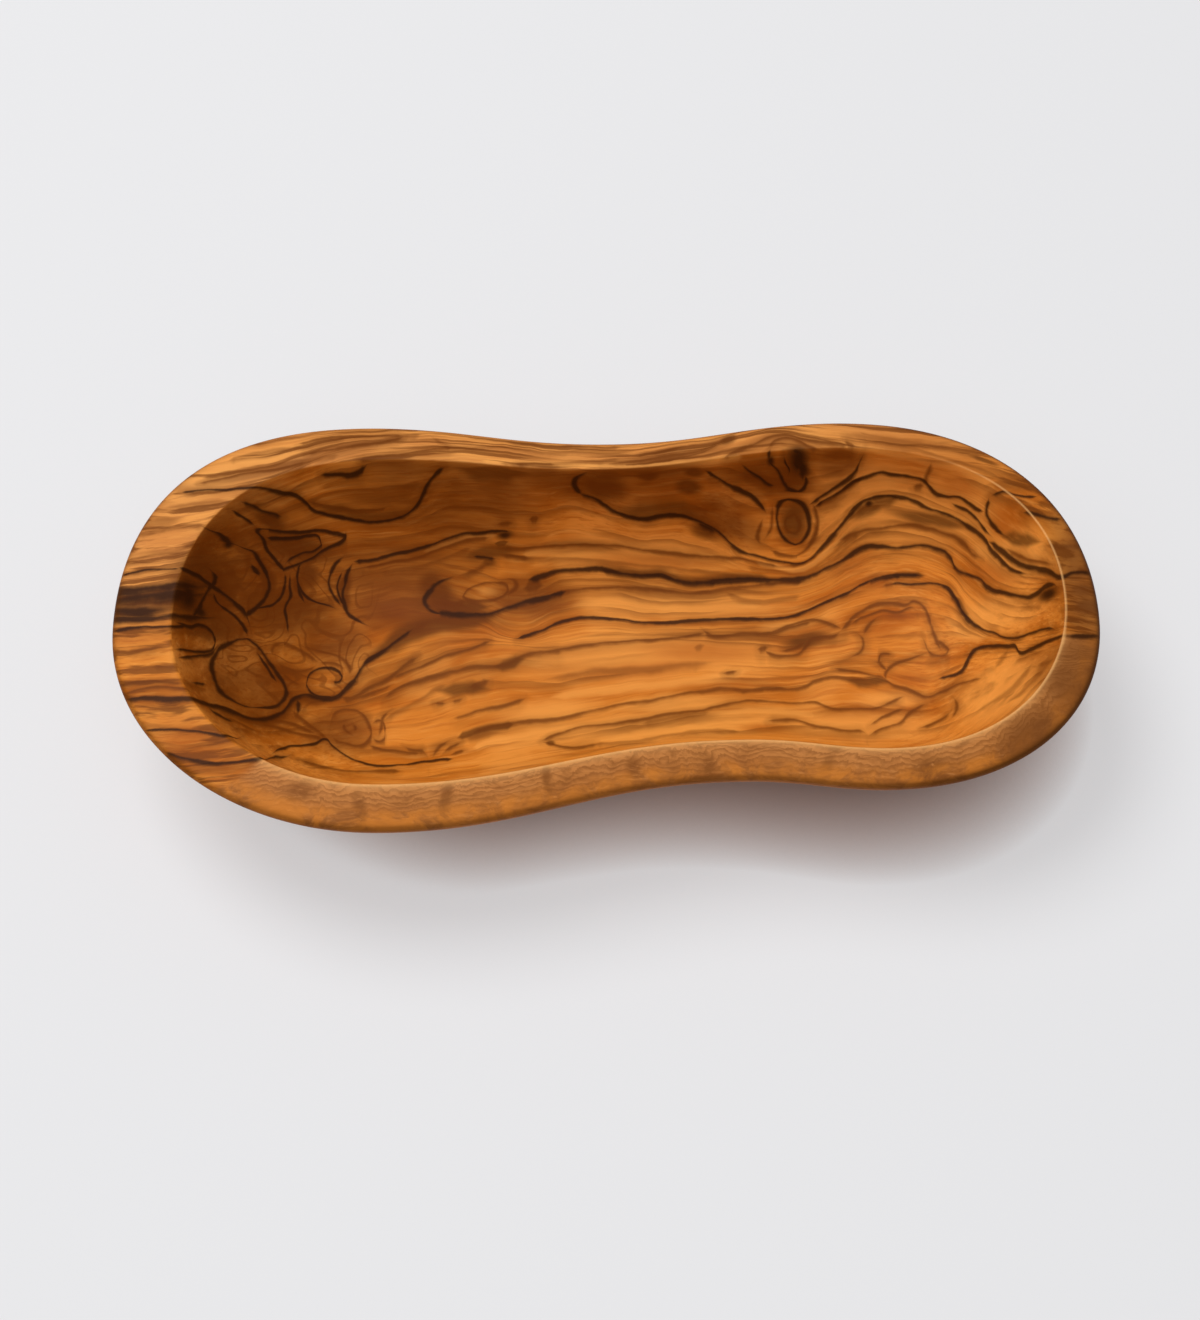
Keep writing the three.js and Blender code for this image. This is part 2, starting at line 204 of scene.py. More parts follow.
# Dark veins: half of each one's width in millimetres, and the places that it runs through.
DARK_VEINS = {
    "knot wedge": (3.2, [(795, 450), (799, 460), (803, 472), (803, 485)]),
    "nut": (1.3, [(471, 556), (480, 557), (490, 559), (500, 561)]),
    "eye left": (1.6, [(454, 577), (438, 584), (429, 593), (425, 602), (431, 609), (442, 613)]),
    "long vein swell": (1.7, [(670, 578), (690, 582), (720, 581), (750, 580), (780, 580), (806, 577),
        (832, 565)]),
    "hook": (1.1, [(352, 562), (372, 559), (392, 554), (412, 550), (430, 545), (446, 539), (462, 534),
        (480, 532), (498, 531), (507, 532), (513, 535)]),
    "wing fold": (1.0, [(264, 537), (279, 538), (296, 537), (309, 535), (319, 537), (321, 544),
        (314, 550), (302, 553), (293, 558), (284, 566)]),
    "left front end": (0.9, [(270, 756), (281, 749), (293, 746), (304, 745), (316, 743), (326, 739),
        (332, 745), (340, 751), (350, 757), (366, 763), (385, 766), (404, 764), (430, 761), (456, 759)]),
    "middle vein swell": (1.6, [(864, 584), (882, 578), (906, 576)]),
    "knot core": (2.3, [(788, 450), (797, 452), (806, 458)]),
    "knot core lower": (2.4, [(790, 459), (797, 464), (803, 471)]),
    "column right": (0.8, [(306, 560), (298, 570), (298, 586), (308, 598), (324, 604), (340, 611)]),
    "left rim band lower": (3.6, [(60, 611), (115, 611), (140, 611), (190, 613)]),
    "middle vein": (1.1, [(515, 640), (530, 634), (545, 629), (556, 623), (570, 619), (585, 617),
        (600, 617), (620, 619), (640, 622), (655, 623), (670, 623), (690, 621), (720, 619), (760, 619),
        (780, 618), (800, 613), (815, 607), (830, 600), (845, 594), (860, 586), (870, 581), (882, 577),
        (895, 575), (908, 575), (923, 576)]),
    "left rim band": (3.8, [(60, 591), (140, 590), (230, 588)]),
    "left rim band middle": (3.8, [(60, 600), (140, 598), (230, 595)]),
    "left rim band edge": (2.0, [(60, 619), (140, 618), (160, 617), (220, 616)]),
    "wing": (1.1, [(284, 569), (279, 563), (273, 556), (266, 546), (263, 538), (258, 531), (269, 529),
        (283, 531), (302, 531), (319, 530), (336, 532), (346, 536), (342, 541), (329, 546), (319, 553),
        (312, 558), (302, 563), (292, 567), (284, 569)]),
    "wall fall": (1.2, [(200, 525), (206, 528), (220, 535), (230, 544), (243, 547), (253, 551),
        (258, 559), (266, 573), (269, 586), (266, 596), (258, 606), (249, 614), (246, 621)]),
    "wall slant": (1.2, [(176, 567), (185, 569), (196, 574), (206, 582), (213, 587), (226, 596),
        (236, 604), (246, 614), (249, 624), (252, 637)]),
    "wall slant pair": (1.0, [(213, 590), (216, 601), (226, 609), (236, 618), (243, 627), (248, 638)]),
    "wall hook": (1.2, [(174, 620), (190, 626), (200, 624), (210, 629), (216, 639), (215, 648),
        (206, 652), (190, 651), (172, 650)]),
    "wall crease": (1.1, [(204, 566), (212, 572), (214, 580), (208, 590), (203, 600), (198, 611),
        (190, 620)]),
    "egg": (1.2, [(248, 639), (236, 640), (225, 646), (216, 655), (212, 665), (213, 677), (218, 688),
        (226, 697), (236, 703), (248, 707), (260, 708), (271, 707), (280, 703), (286, 695), (284, 685),
        (276, 672), (266, 657), (256, 645), (248, 639)]),
    "egg pair": (0.8, [(254, 649), (262, 659), (270, 672), (278, 685)]),
    "egg underside": (1.5, [(124, 700), (150, 698), (175, 698), (193, 699), (206, 703), (220, 707),
        (236, 713), (253, 718), (269, 717), (281, 712), (289, 703), (297, 697), (307, 694), (315, 696),
        (326, 699), (336, 697), (346, 688), (355, 679), (362, 669), (370, 659), (383, 650), (399, 639),
        (415, 628)]),
    "curl": (1.0, [(336, 697), (322, 697), (312, 692), (307, 684), (309, 675), (317, 669), (328, 668),
        (338, 671), (342, 677), (338, 682), (331, 680)]),
    "fan middle boundary": (0.8, [(343, 570), (339, 580), (338, 590), (341, 600), (347, 610)]),
    "eye swell": (1.8, [(434, 611), (456, 614), (474, 616), (490, 614), (506, 608), (524, 602),
        (545, 597), (568, 591)]),
    "eye": (1.3, [(460, 574), (447, 579), (437, 585), (429, 592), (424, 601), (428, 608), (438, 613),
        (456, 614), (474, 615), (490, 614), (506, 608), (524, 602), (542, 597), (562, 592)]),
    "waist vein top": (1.3, [(594, 470), (582, 474), (575, 481), (576, 489), (583, 496), (597, 501)]),
    "waist vein": (1.2, [(576, 491), (583, 496), (597, 500), (606, 506), (618, 513), (630, 517),
        (645, 518), (660, 516), (674, 515), (688, 518), (700, 522), (713, 528), (723, 535), (731, 544),
        (742, 551), (756, 555), (771, 560), (786, 563), (798, 564), (808, 560), (818, 552), (828, 541),
        (838, 529), (848, 516), (858, 506), (868, 500)]),
    "waist vein swell": (2.0, [(690, 520), (702, 525), (713, 530), (724, 536)]),
    "right rim top": (1.2, [(988, 497), (1003, 492), (1018, 496), (1038, 496)]),
    "right rim blot": (1.7, [(1020, 514), (1032, 514), (1046, 517), (1066, 518)]),
    "right post": (1.1, [(991, 493), (987, 503), (986, 511), (990, 521), (998, 530), (1009, 537)]),
    "right arch": (1.1, [(844, 517), (856, 506), (868, 499), (882, 496), (900, 497), (914, 501),
        (926, 508), (940, 513), (955, 518), (968, 525), (978, 532), (985, 540), (989, 548), (997, 556),
        (1005, 565), (1015, 571), (1030, 573)]),
    "right arch to rim": (1.5, [(985, 540), (995, 546), (1003, 552), (1012, 559), (1022, 564),
        (1036, 568), (1050, 571), (1062, 576), (1072, 573), (1090, 574), (1108, 574)]),
    "chain": (1.3, [(936, 679), (950, 676), (960, 673), (966, 664), (971, 654), (979, 648), (992, 646),
        (1006, 646), (1015, 645), (1021, 652), (1032, 648), (1044, 642), (1054, 638), (1068, 637)]),
    "chain on rim": (2.0, [(1050, 638), (1066, 636), (1082, 636), (1114, 635)]),
    "ring": (1.2, [(788, 500), (780, 503), (777, 512), (777, 522), (780, 532), (786, 540), (795, 545),
        (803, 541), (808, 533), (810, 523), (807, 512), (800, 504), (788, 500)]),
    "left tongue": (1.5, [(238, 500), (252, 505), (264, 510), (276, 514), (286, 518)]),
    "tongue root": (1.0, [(228, 509), (240, 514), (250, 521), (257, 529), (259, 541)]),
    "wall drop": (1.4, [(249, 560), (254, 568), (261, 578)]),
    "cell top": (0.9, [(250, 613), (258, 609), (268, 607), (277, 602), (283, 592), (285, 580), (284, 570)]),
    "column": (0.9, [(302, 562), (298, 572), (297, 584), (300, 596), (306, 604)]),
    "column left": (0.8, [(290, 572), (289, 584), (290, 596), (286, 608), (288, 622), (290, 636)]),
    "outer boundary": (1.0, [(346, 555), (337, 562), (331, 571), (329, 581), (331, 591), (336, 600),
        (342, 608)]),
    "inner boundary": (1.1, [(354, 562), (348, 572), (346, 583), (343, 593), (344, 603), (348, 613),
        (358, 621), (374, 627)]),
    "egg to wall": (1.2, [(176, 659), (195, 656), (208, 655), (217, 649), (223, 640)]),
    "wall tick": (1.5, [(186, 684), (198, 682), (210, 687)]),
    "arris tick": (1.0, [(208, 706), (218, 714), (228, 720), (238, 724)]),
    "curl smear": (1.6, [(296, 698), (298, 706), (296, 716)]),
    "knot fork right": (1.2, [(866, 446), (864, 455), (860, 464), (853, 474), (843, 483), (831, 491),
        (820, 498), (808, 506)]),
    "knot fork left": (1.1, [(703, 468), (720, 480), (731, 486), (742, 491), (753, 497), (761, 504),
        (766, 513), (769, 524)]),
    "knot fork inner": (1.2, [(738, 461), (748, 470), (758, 477), (768, 484), (778, 484)]),
    "knot loop": (1.2, [(771, 446), (768, 455), (770, 463), (776, 470), (781, 478), (786, 486),
        (792, 491), (799, 492), (804, 488), (807, 480), (804, 471)]),
    "knot loop inner": (0.9, [(783, 452), (784, 462), (788, 470), (786, 478)]),
    "left shoulder": (1.1, [(178, 492), (205, 490), (230, 489), (255, 488), (280, 492), (298, 496),
        (306, 502), (313, 510), (328, 515), (345, 519), (365, 521), (385, 521), (400, 517), (413, 508),
        (424, 492), (430, 482), (438, 471), (446, 466)]),
    "left rim line": (0.8, [(118, 577), (140, 571), (160, 569), (183, 569)]),
    "left band edge": (1.1, [(110, 631), (140, 627), (160, 626), (176, 626), (192, 625)]),
    "left thin line": (0.9, [(142, 731), (170, 729), (190, 730), (210, 733), (225, 736), (243, 737)]),
    "left strong line": (1.3, [(162, 753), (180, 757), (195, 760), (212, 763), (225, 763), (242, 761),
        (262, 758), (275, 757), (284, 758), (293, 752)]),
    "back left pocket": (1.4, [(318, 474), (335, 475), (352, 474), (362, 469), (369, 463)]),
    "long vein": (1.5, [(526, 581), (540, 576), (550, 573), (560, 571), (580, 570), (600, 568),
        (610, 570), (620, 573), (640, 575), (660, 575), (675, 580), (690, 583), (710, 582), (730, 579),
        (750, 579), (780, 580), (800, 578), (815, 575), (825, 569), (840, 562), (850, 555), (860, 549),
        (870, 546), (882, 546), (895, 548), (905, 546), (920, 545), (935, 548), (945, 552), (952, 559),
        (957, 569), (970, 575), (980, 580), (986, 586), (994, 591), (1006, 594), (1020, 597),
        (1028, 597), (1036, 593), (1043, 587), (1050, 584), (1060, 588)]),
    "right fall": (1.2, [(888, 586), (896, 583), (908, 584), (922, 584), (936, 584), (946, 587),
        (953, 593), (958, 602), (963, 612), (970, 620), (978, 626), (986, 630), (995, 633), (1002, 637),
        (1012, 638), (1025, 635), (1035, 632), (1045, 629), (1053, 629), (1060, 635)]),
    "back right arch": (1.0, [(812, 509), (825, 501), (838, 494), (850, 484), (860, 478), (870, 475),
        (882, 473), (895, 475), (910, 477), (922, 480), (929, 486), (936, 493), (947, 497), (960, 499),
        (970, 505), (979, 510), (987, 512)]),
    "back right fork": (0.8, [(948, 501), (956, 507), (966, 511), (976, 518), (985, 529), (993, 537)]),
}

# Brown lines, given in the same way.
BROWN_LINES = {
    "eye core": (0.8, [(463, 597), (468, 590), (480, 584), (494, 582), (506, 585), (508, 591),
        (500, 597), (484, 601), (468, 601), (463, 597)]),
    "swirl arc": (0.9, [(434, 758), (438, 749), (445, 742), (456, 737)]),
    "swirl arc second": (0.8, [(442, 758), (447, 750), (454, 745), (464, 741)]),
    "swirl arc third": (0.8, [(450, 757), (457, 752), (468, 750)]),
    "upper brown": (0.9, [(500, 549), (520, 549), (540, 547), (560, 545), (580, 543), (600, 545),
        (620, 546), (640, 549), (660, 552), (690, 555), (722, 557), (750, 560), (780, 568)]),
    "back rim waist": (1.5, [(600, 466), (640, 460), (688, 453), (712, 446), (733, 436)]),
    "back rim dashes": (1.0, [(513, 463), (535, 463), (557, 464)]),
    "ring inner": (0.7, [(789, 516), (785, 523), (788, 531), (795, 534), (800, 528), (799, 519),
        (794, 514), (789, 516)]),
    "front mark": (0.8, [(722, 674), (732, 672), (740, 670)]),
    "fan edge": (0.9, [(288, 708), (302, 719), (316, 730), (331, 741)]),
    "back rim streak": (0.7, [(632, 456), (660, 452), (685, 447)]),
    "back rim streak inner": (0.7, [(620, 465), (650, 462), (690, 455), (722, 443)]),
    "front tick": (0.9, [(541, 741), (556, 745), (576, 747), (600, 744)]),
    "left lobe middle": (1.3, [(382, 700), (394, 691), (404, 686), (420, 681), (440, 675), (460, 671),
        (480, 667), (500, 665), (514, 661), (528, 655), (545, 652), (566, 651)]),
    "left pair upper": (0.7, [(116, 685), (140, 682), (165, 682), (186, 684)]),
    "left pair lower": (0.8, [(120, 694), (140, 689), (160, 687), (180, 688), (192, 693)]),
    "back rim cross": (0.9, [(722, 458), (740, 450), (757, 440)]),
    "right rim blot high": (1.6, [(1074, 588), (1086, 588), (1094, 592)]),
    "right rim blot low": (1.8, [(1072, 606), (1084, 608), (1096, 611)]),
    "eye streak": (1.2, [(436, 603), (452, 603), (468, 602)]),
    "front vein": (1.1, [(470, 733), (490, 727), (504, 724), (520, 722), (540, 720), (564, 717),
        (588, 711), (612, 705), (636, 702), (660, 698), (684, 694), (708, 691), (724, 689), (746, 690),
        (770, 688)]),
    "front right vein": (1.0, [(766, 722), (780, 720), (793, 720), (810, 725), (829, 728), (848, 731),
        (863, 731), (868, 736)]),
    "middle thread": (0.9, [(536, 655), (564, 649), (600, 644), (636, 640), (660, 639), (706, 633)]),
    "back speck": (1.2, [(494, 525), (503, 523), (514, 523)]),
    "back speck right": (1.2, [(527, 520), (539, 518)]),
    "leaf speck": (1.3, [(756, 650), (770, 648)]),
    "eye spot": (1.3, [(880, 587), (890, 584), (899, 584)]),
    "arch speck": (1.6, [(911, 487), (926, 486)]),
    "rim speck": (1.4, [(842, 441), (858, 447)]),
    "shoulder pair": (0.9, [(306, 499), (314, 503), (328, 507), (349, 510), (372, 510), (390, 505)]),
    "band upper": (1.2, [(360, 668), (372, 657), (384, 648), (398, 639), (414, 630), (430, 622)]),
    "band lower": (1.1, [(340, 700), (356, 697), (370, 688), (386, 680), (400, 668), (420, 655)]),
    "rosette": (1.0, [(326, 739), (330, 730), (331, 720), (338, 712), (348, 710), (360, 713), (368, 721),
        (372, 731), (368, 741), (358, 746), (346, 743), (336, 740), (330, 732)]),
    "rosette tail": (0.9, [(366, 743), (374, 747), (386, 750), (404, 752), (424, 753)]),
    "rosette wheel": (0.8, [(372, 724), (381, 720), (386, 728), (385, 738), (378, 741), (372, 735)]),
    "back rim left": (1.0, [(356, 461), (380, 457), (400, 454), (425, 450), (456, 447)]),
    "back rim left high": (0.9, [(296, 444), (340, 437), (405, 436)]),
    "back rim left second": (0.8, [(304, 454), (350, 447), (386, 441), (406, 436)]),
    "corner streak": (0.8, [(196, 484), (240, 474), (280, 468), (310, 461)]),
    "left rim low edge": (0.9, [(96, 629), (130, 628), (180, 628)]),
    "nut tail": (1.6, [(497, 561), (482, 568), (468, 573), (454, 577)]),
    "nut thread": (0.9, [(500, 557), (516, 557), (532, 559)]),
    "long brown": (1.1, [(546, 596), (562, 592), (580, 589), (600, 587), (630, 588), (660, 590),
        (690, 593), (720, 589), (760, 585), (804, 581)]),
    "eye inner": (0.9, [(482, 576), (497, 577), (509, 579), (516, 584), (512, 591), (503, 596),
        (486, 599)]),
    "left lobe upper": (0.9, [(390, 678), (404, 672), (422, 666), (440, 658), (456, 653), (472, 648),
        (492, 640)]),
    "left lobe lower": (1.1, [(450, 719), (466, 715), (482, 710), (500, 706), (516, 702), (527, 697)]),
    "left lobe dash": (1.3, [(466, 689), (478, 684), (492, 679)]),
    "left lobe tick": (1.0, [(432, 702), (440, 703), (448, 703)]),
    "left lobe tick right": (1.1, [(449, 701), (456, 701), (464, 699)]),
    "swirl left": (1.0, [(402, 746), (414, 750), (424, 752), (429, 761)]),
    "right wall strand": (0.9, [(1004, 548), (1020, 556), (1035, 561), (1054, 563)]),
    "leaf upper": (0.9, [(274, 656), (272, 650), (277, 644), (285, 643), (294, 647), (303, 652),
        (312, 657), (321, 664)]),
    "leaf lower": (0.9, [(274, 656), (279, 664), (288, 668), (298, 670), (308, 669), (320, 663)]),
    "leaf strand": (0.8, [(277, 667), (285, 675), (293, 681), (304, 684)]),
    "wave outer": (1.0, [(296, 644), (312, 649), (326, 653), (339, 657), (347, 663), (351, 670),
        (348, 676), (341, 677)]),
    "wave inner": (0.8, [(318, 663), (329, 663), (339, 665), (345, 670), (346, 676)]),
    "fan upper": (0.9, [(258, 722), (272, 725), (286, 729), (299, 733), (312, 736), (326, 739)]),
    "fan middle": (0.8, [(262, 718), (278, 720), (292, 723), (306, 729), (318, 735)]),
    "rosette inner": (0.8, [(345, 720), (344, 727), (349, 733), (359, 738)]),
    "rosette heart": (0.8, [(352, 723), (355, 728), (353, 733)]),
    "rosette side": (0.8, [(392, 708), (384, 717), (382, 728), (378, 738)]),
    "left bottom pair": (0.9, [(298, 760), (315, 765), (335, 769), (357, 771), (380, 771), (402, 771)]),
    "band foot": (0.9, [(338, 697), (356, 698), (376, 692), (394, 684)]),
    "wall foot": (0.9, [(222, 716), (236, 722), (250, 728), (262, 732)]),
    "ring second": (0.9, [(811, 503), (816, 513), (818, 526), (814, 539), (806, 549), (796, 556),
        (782, 555), (768, 549)]),
    "ring left": (0.9, [(772, 504), (772, 518), (770, 531), (763, 541)]),
    "ring left outer": (0.9, [(764, 516), (759, 528), (758, 540), (766, 547)]),
    "knot fork lower": (1.0, [(866, 473), (854, 483), (842, 493), (829, 501), (815, 509), (812, 518)]),
    "knot crown": (1.0, [(764, 455), (769, 446), (777, 440), (788, 438), (799, 441), (808, 446),
        (820, 450)]),
    "corner post": (1.2, [(932, 461), (929, 470), (926, 480), (931, 488)]),
    "right swirl top": (1.0, [(838, 634), (845, 626), (853, 617), (863, 610), (873, 605), (884, 603),
        (896, 603), (906, 604), (913, 601), (921, 604), (926, 611), (929, 620), (933, 631), (939, 638)]),
    "right swirl pair": (0.8, [(848, 627), (857, 620), (869, 615), (882, 611), (898, 612), (912, 607),
        (917, 612)]),
    "right swirl fall": (0.8, [(846, 632), (856, 634), (863, 639), (864, 647), (859, 654), (849, 658),
        (838, 661)]),
    "right swirl branch": (0.8, [(863, 638), (867, 629), (873, 621), (882, 616)]),
    "right beads": (1.0, [(921, 637), (925, 644), (928, 652), (936, 656), (944, 656), (948, 650),
        (942, 644), (934, 641)]),
    "right bead side": (0.8, [(930, 620), (933, 632), (937, 642), (940, 651)]),
    "spindle upper": (0.8, [(928, 651), (918, 656), (907, 660), (897, 664), (889, 670), (886, 677),
        (893, 683)]),
    "fin": (0.8, [(893, 656), (886, 654), (879, 656), (879, 663), (884, 669), (890, 673)]),
    "leaf patch lower": (0.9, [(763, 650), (773, 655), (786, 656), (798, 653), (805, 646), (811, 640),
        (822, 637), (834, 636), (842, 630)]),
    "leaf patch upper": (0.8, [(764, 636), (776, 631), (787, 626), (799, 622), (814, 620), (830, 624),
        (842, 630)]),
    "leaf patch fold": (0.7, [(780, 651), (792, 649), (800, 645), (807, 640)]),
    "front right pair": (0.9, [(832, 667), (846, 669), (860, 672), (874, 676), (884, 678)]),
    "sliver upper": (0.8, [(866, 727), (874, 722), (886, 716), (897, 711), (906, 710)]),
    "sliver lower": (0.9, [(868, 736), (876, 731), (890, 726), (901, 722), (908, 714), (917, 709),
        (928, 704)]),
    "right barb": (0.8, [(919, 728), (930, 725), (941, 720), (949, 714), (953, 706)]),
    "right barb outer": (0.8, [(952, 697), (957, 705), (955, 714), (948, 721)]),
    "hook strand": (0.8, [(362, 568), (380, 564), (400, 561), (420, 557), (440, 549), (455, 543),
        (470, 539), (492, 538)]),
    "short brown": (0.9, [(700, 627), (708, 634), (720, 636), (740, 634), (765, 634), (776, 632),
        (786, 628), (800, 624), (814, 621)]),
    "front right brown": (1.0, [(735, 693), (750, 690), (770, 688), (790, 690), (805, 687), (815, 681),
        (830, 677), (845, 677), (862, 678), (880, 677), (895, 685), (907, 689), (918, 694), (928, 697),
        (942, 692), (956, 686), (970, 681), (984, 677)]),
    "front brown": (0.9, [(540, 742), (555, 735), (565, 732), (580, 727), (600, 725), (620, 723),
        (640, 720), (660, 715), (680, 712), (700, 710), (715, 706), (730, 703), (750, 701), (780, 702),
        (800, 703), (815, 702), (826, 706), (840, 709), (860, 709), (876, 708), (890, 703), (904, 697)]),
    "right middle arch": (1.1, [(838, 541), (855, 533), (870, 530), (885, 528), (900, 526), (915, 525),
        (930, 529), (945, 533), (958, 538), (966, 545), (972, 553), (983, 557)]),
    "back rim over knot": (1.0, [(720, 461), (740, 449), (755, 443), (770, 437), (785, 435), (800, 438),
        (822, 442), (850, 446)]),
    "right rim upper": (1.4, [(1044, 545), (1062, 546), (1090, 545)]),
    "right rim middle": (1.5, [(1062, 610), (1080, 609), (1108, 610)]),
}

# Faint lines, given in the same way.
FAINT_LINES = {
    "front smear": (1.4, [(452, 739), (464, 736), (478, 736), (492, 733), (508, 732)]),
    "upper thread": (0.8, [(498, 555), (520, 558), (540, 559), (580, 558), (609, 562), (640, 564),
        (688, 570), (742, 575)]),
    "back rim waist outer": (1.2, [(496, 441), (540, 446), (573, 448), (606, 452), (640, 448)]),
    "front band": (1.6, [(536, 682), (588, 672), (636, 669), (685, 665), (722, 662)]),
    "left rim streak": (1.6, [(128, 528), (160, 521), (190, 516)]),
    "back rim right": (1.1, [(856, 432), (900, 440), (940, 447), (985, 459)]),
    "front tick end": (0.9, [(592, 745), (636, 741), (672, 735), (709, 730), (742, 732)]),
    "front band tick": (1.0, [(692, 648), (705, 645)]),
    "right rim thread": (0.9, [(1062, 602), (1078, 603), (1094, 605)]),
    "back rim right band": (2.4, [(820, 432), (880, 438), (915, 444), (958, 441)]),
    "right rim smear": (1.6, [(980, 486), (1005, 485), (1036, 489)]),
    "hook thread": (0.8, [(378, 573), (410, 568), (435, 562), (455, 553), (474, 546)]),
    "under the ring": (0.9, [(745, 565), (770, 570), (797, 574), (815, 567), (830, 556), (845, 543),
        (862, 533)]),
    "right of ring": (0.8, [(812, 520), (816, 532), (811, 544), (800, 551)]),
    "short bow": (0.9, [(725, 591), (740, 598), (760, 600), (780, 599), (802, 594)]),
    "front thread": (0.8, [(640, 724), (680, 716), (712, 711)]),
    "left lobe slant": (1.0, [(384, 722), (394, 713), (410, 705), (425, 697), (435, 690), (448, 684)]),
    "chain branch": (0.8, [(1007, 649), (1001, 660), (993, 671)]),
    "right wall upper": (0.9, [(1050, 655), (1038, 676), (1020, 694), (1000, 708)]),
    "right wall lower": (0.9, [(1034, 662), (1018, 682), (998, 698), (975, 712)]),
    "back rim slant": (1.0, [(330, 449), (360, 444), (385, 439), (422, 434)]),
    "back rim long": (1.0, [(430, 436), (445, 444), (470, 447), (500, 447), (540, 452), (580, 451),
        (622, 446)]),
    "back rim inner": (0.9, [(498, 463), (540, 463), (580, 462), (622, 459)]),
    "back rim right inner": (0.9, [(880, 440), (920, 450), (960, 462), (1000, 478)]),
    "back rim corner": (1.0, [(200, 478), (240, 470), (290, 462), (342, 455)]),
    "back rim corner outer": (1.0, [(226, 462), (262, 452), (310, 446), (350, 437)]),
    "left rim top": (1.4, [(160, 507), (200, 504), (242, 500)]),
    "left rim upper": (1.0, [(136, 535), (160, 529), (180, 526), (206, 525)]),
    "left rim middle": (0.9, [(124, 561), (150, 556), (191, 552)]),
    "left rim soft": (1.8, [(112, 652), (140, 650), (178, 651)]),
    "left rim low": (0.9, [(150, 668), (165, 667), (182, 667)]),
    "right rim pair": (0.9, [(1062, 592), (1080, 591), (1106, 593)]),
    "right rim low": (0.9, [(1062, 620), (1080, 620), (1108, 621)]),
}

# Smoky shades: how far each fades to the back and to the front, in millimetres, and where it runs.
SMOKY_SHADES = {
    "wall fall shade": (3.0, 3.0, [(243, 547), (258, 559), (266, 573), (269, 586), (266, 596), (249, 614)]),
    "wall slant shade": (3.0, 3.0, [(185, 569), (206, 582), (226, 596), (246, 614)]),
    "egg shade": (0.8, 3.0, [(193, 699), (220, 707), (253, 718), (281, 712), (297, 697), (326, 699),
        (346, 688)]),
    "boundary shade": (2.5, 2.5, [(354, 562), (346, 583), (344, 603), (358, 621)]),
    "column shade": (2.5, 2.5, [(300, 570), (297, 584), (306, 604)]),
    "left rim band ground": (7.0, 7.0, [(20, 604), (140, 603), (240, 602)]),
    "left shoulder smoke": (4.0, 0.6, [(300, 498), (320, 513), (345, 519), (385, 521), (413, 508),
        (430, 482)]),
    "above the long vein": (2.2, 0.5, [(600, 568), (610, 570), (620, 573), (640, 575), (660, 575),
        (675, 580), (690, 583), (710, 582), (730, 579), (750, 579), (780, 580)]),
    "under the long vein": (0.5, 1.8, [(600, 568), (620, 573), (640, 575), (660, 575), (690, 583),
        (720, 580)]),
    "above the waist vein": (6.0, 0.5, [(590, 499), (606, 506), (618, 513), (630, 517), (645, 518),
        (660, 516), (674, 515), (688, 518), (700, 522), (713, 528), (723, 535), (731, 544)]),
    "under the hook": (0.6, 2.4, [(492, 545), (500, 544), (510, 542)]),
    "right of the eye": (2.4, 2.4, [(520, 590), (532, 586), (545, 584)]),
    "left lobe band": (4.5, 4.0, [(352, 664), (375, 652), (395, 641), (415, 632), (440, 625), (462, 621),
        (488, 617), (515, 608)]),
    "left lobe blot": (2.4, 2.4, [(488, 668), (505, 665), (530, 657)]),
    "left lobe smoke": (3.0, 3.0, [(430, 690), (455, 690), (480, 688), (495, 690)]),
    "front vein start": (1.6, 1.6, [(455, 738), (480, 730), (515, 724)]),
    "front right shade": (0.6, 3.2, [(836, 678), (862, 680), (884, 680), (900, 690)]),
    "right brown band": (2.6, 2.2, [(996, 532), (1010, 538), (1025, 541), (1046, 541)]),
    "arch shade": (0.5, 4.0, [(862, 501), (886, 497), (905, 499)]),
    "right fall shade": (0.6, 2.2, [(950, 592), (958, 602), (963, 612), (970, 620)]),
    "middle vein end": (1.2, 1.4, [(890, 575), (908, 575), (926, 576)]),
    "back wall smoke": (1.0, 4.0, [(446, 466), (470, 470), (500, 470), (540, 474)]),
    "eye smoke": (3.0, 3.0, [(425, 600), (445, 608), (470, 609), (500, 604)]),
    "right rim smoke": (3.0, 3.0, [(1072, 606), (1085, 606), (1108, 607)]),
}

# Streaks of paler wood, given in the same way as the shades; two, on the front and right inner walls, are
# painted light.
PALE_AND_LIT_STREAKS = {
    "back rim light": (1.6, 1.6, [(480, 461), (560, 464), (620, 466), (680, 463), (745, 456)]),
    "back rim light right": (1.4, 1.4, [(830, 444), (880, 451), (920, 459), (960, 469), (1000, 494)]),
    "hook light": (1.2, 1.2, [(420, 553), (440, 546), (460, 539), (480, 536), (500, 536)]),
    "under the ring": (1.2, 1.2, [(752, 560), (775, 567), (797, 570), (812, 564), (826, 553), (845, 536),
        (870, 520)]),
    "upper light": (2.0, 2.0, [(520, 555), (560, 552), (600, 553), (650, 558), (700, 563)]),
    "below the long vein": (3.0, 3.0, [(560, 606), (620, 602), (700, 605), (780, 605)]),
    "middle light": (4.0, 4.0, [(500, 665), (580, 658), (660, 655), (740, 652)]),
    "front light": (2.5, 2.5, [(540, 700), (620, 688), (700, 680), (760, 668)]),
    # Painted light on the front inner wall.
    "front arris light": (2.0, 2.0, [(470, 748), (560, 730), (640, 728), (740, 712), (820, 716)]),
    "right light": (4.0, 3.0, [(935, 610), (950, 622), (975, 636), (1000, 628)]),
    # Painted light on the right inner wall.
    "right wall light": (3.0, 3.0, [(1048, 668), (1030, 690), (1000, 715)]),
}
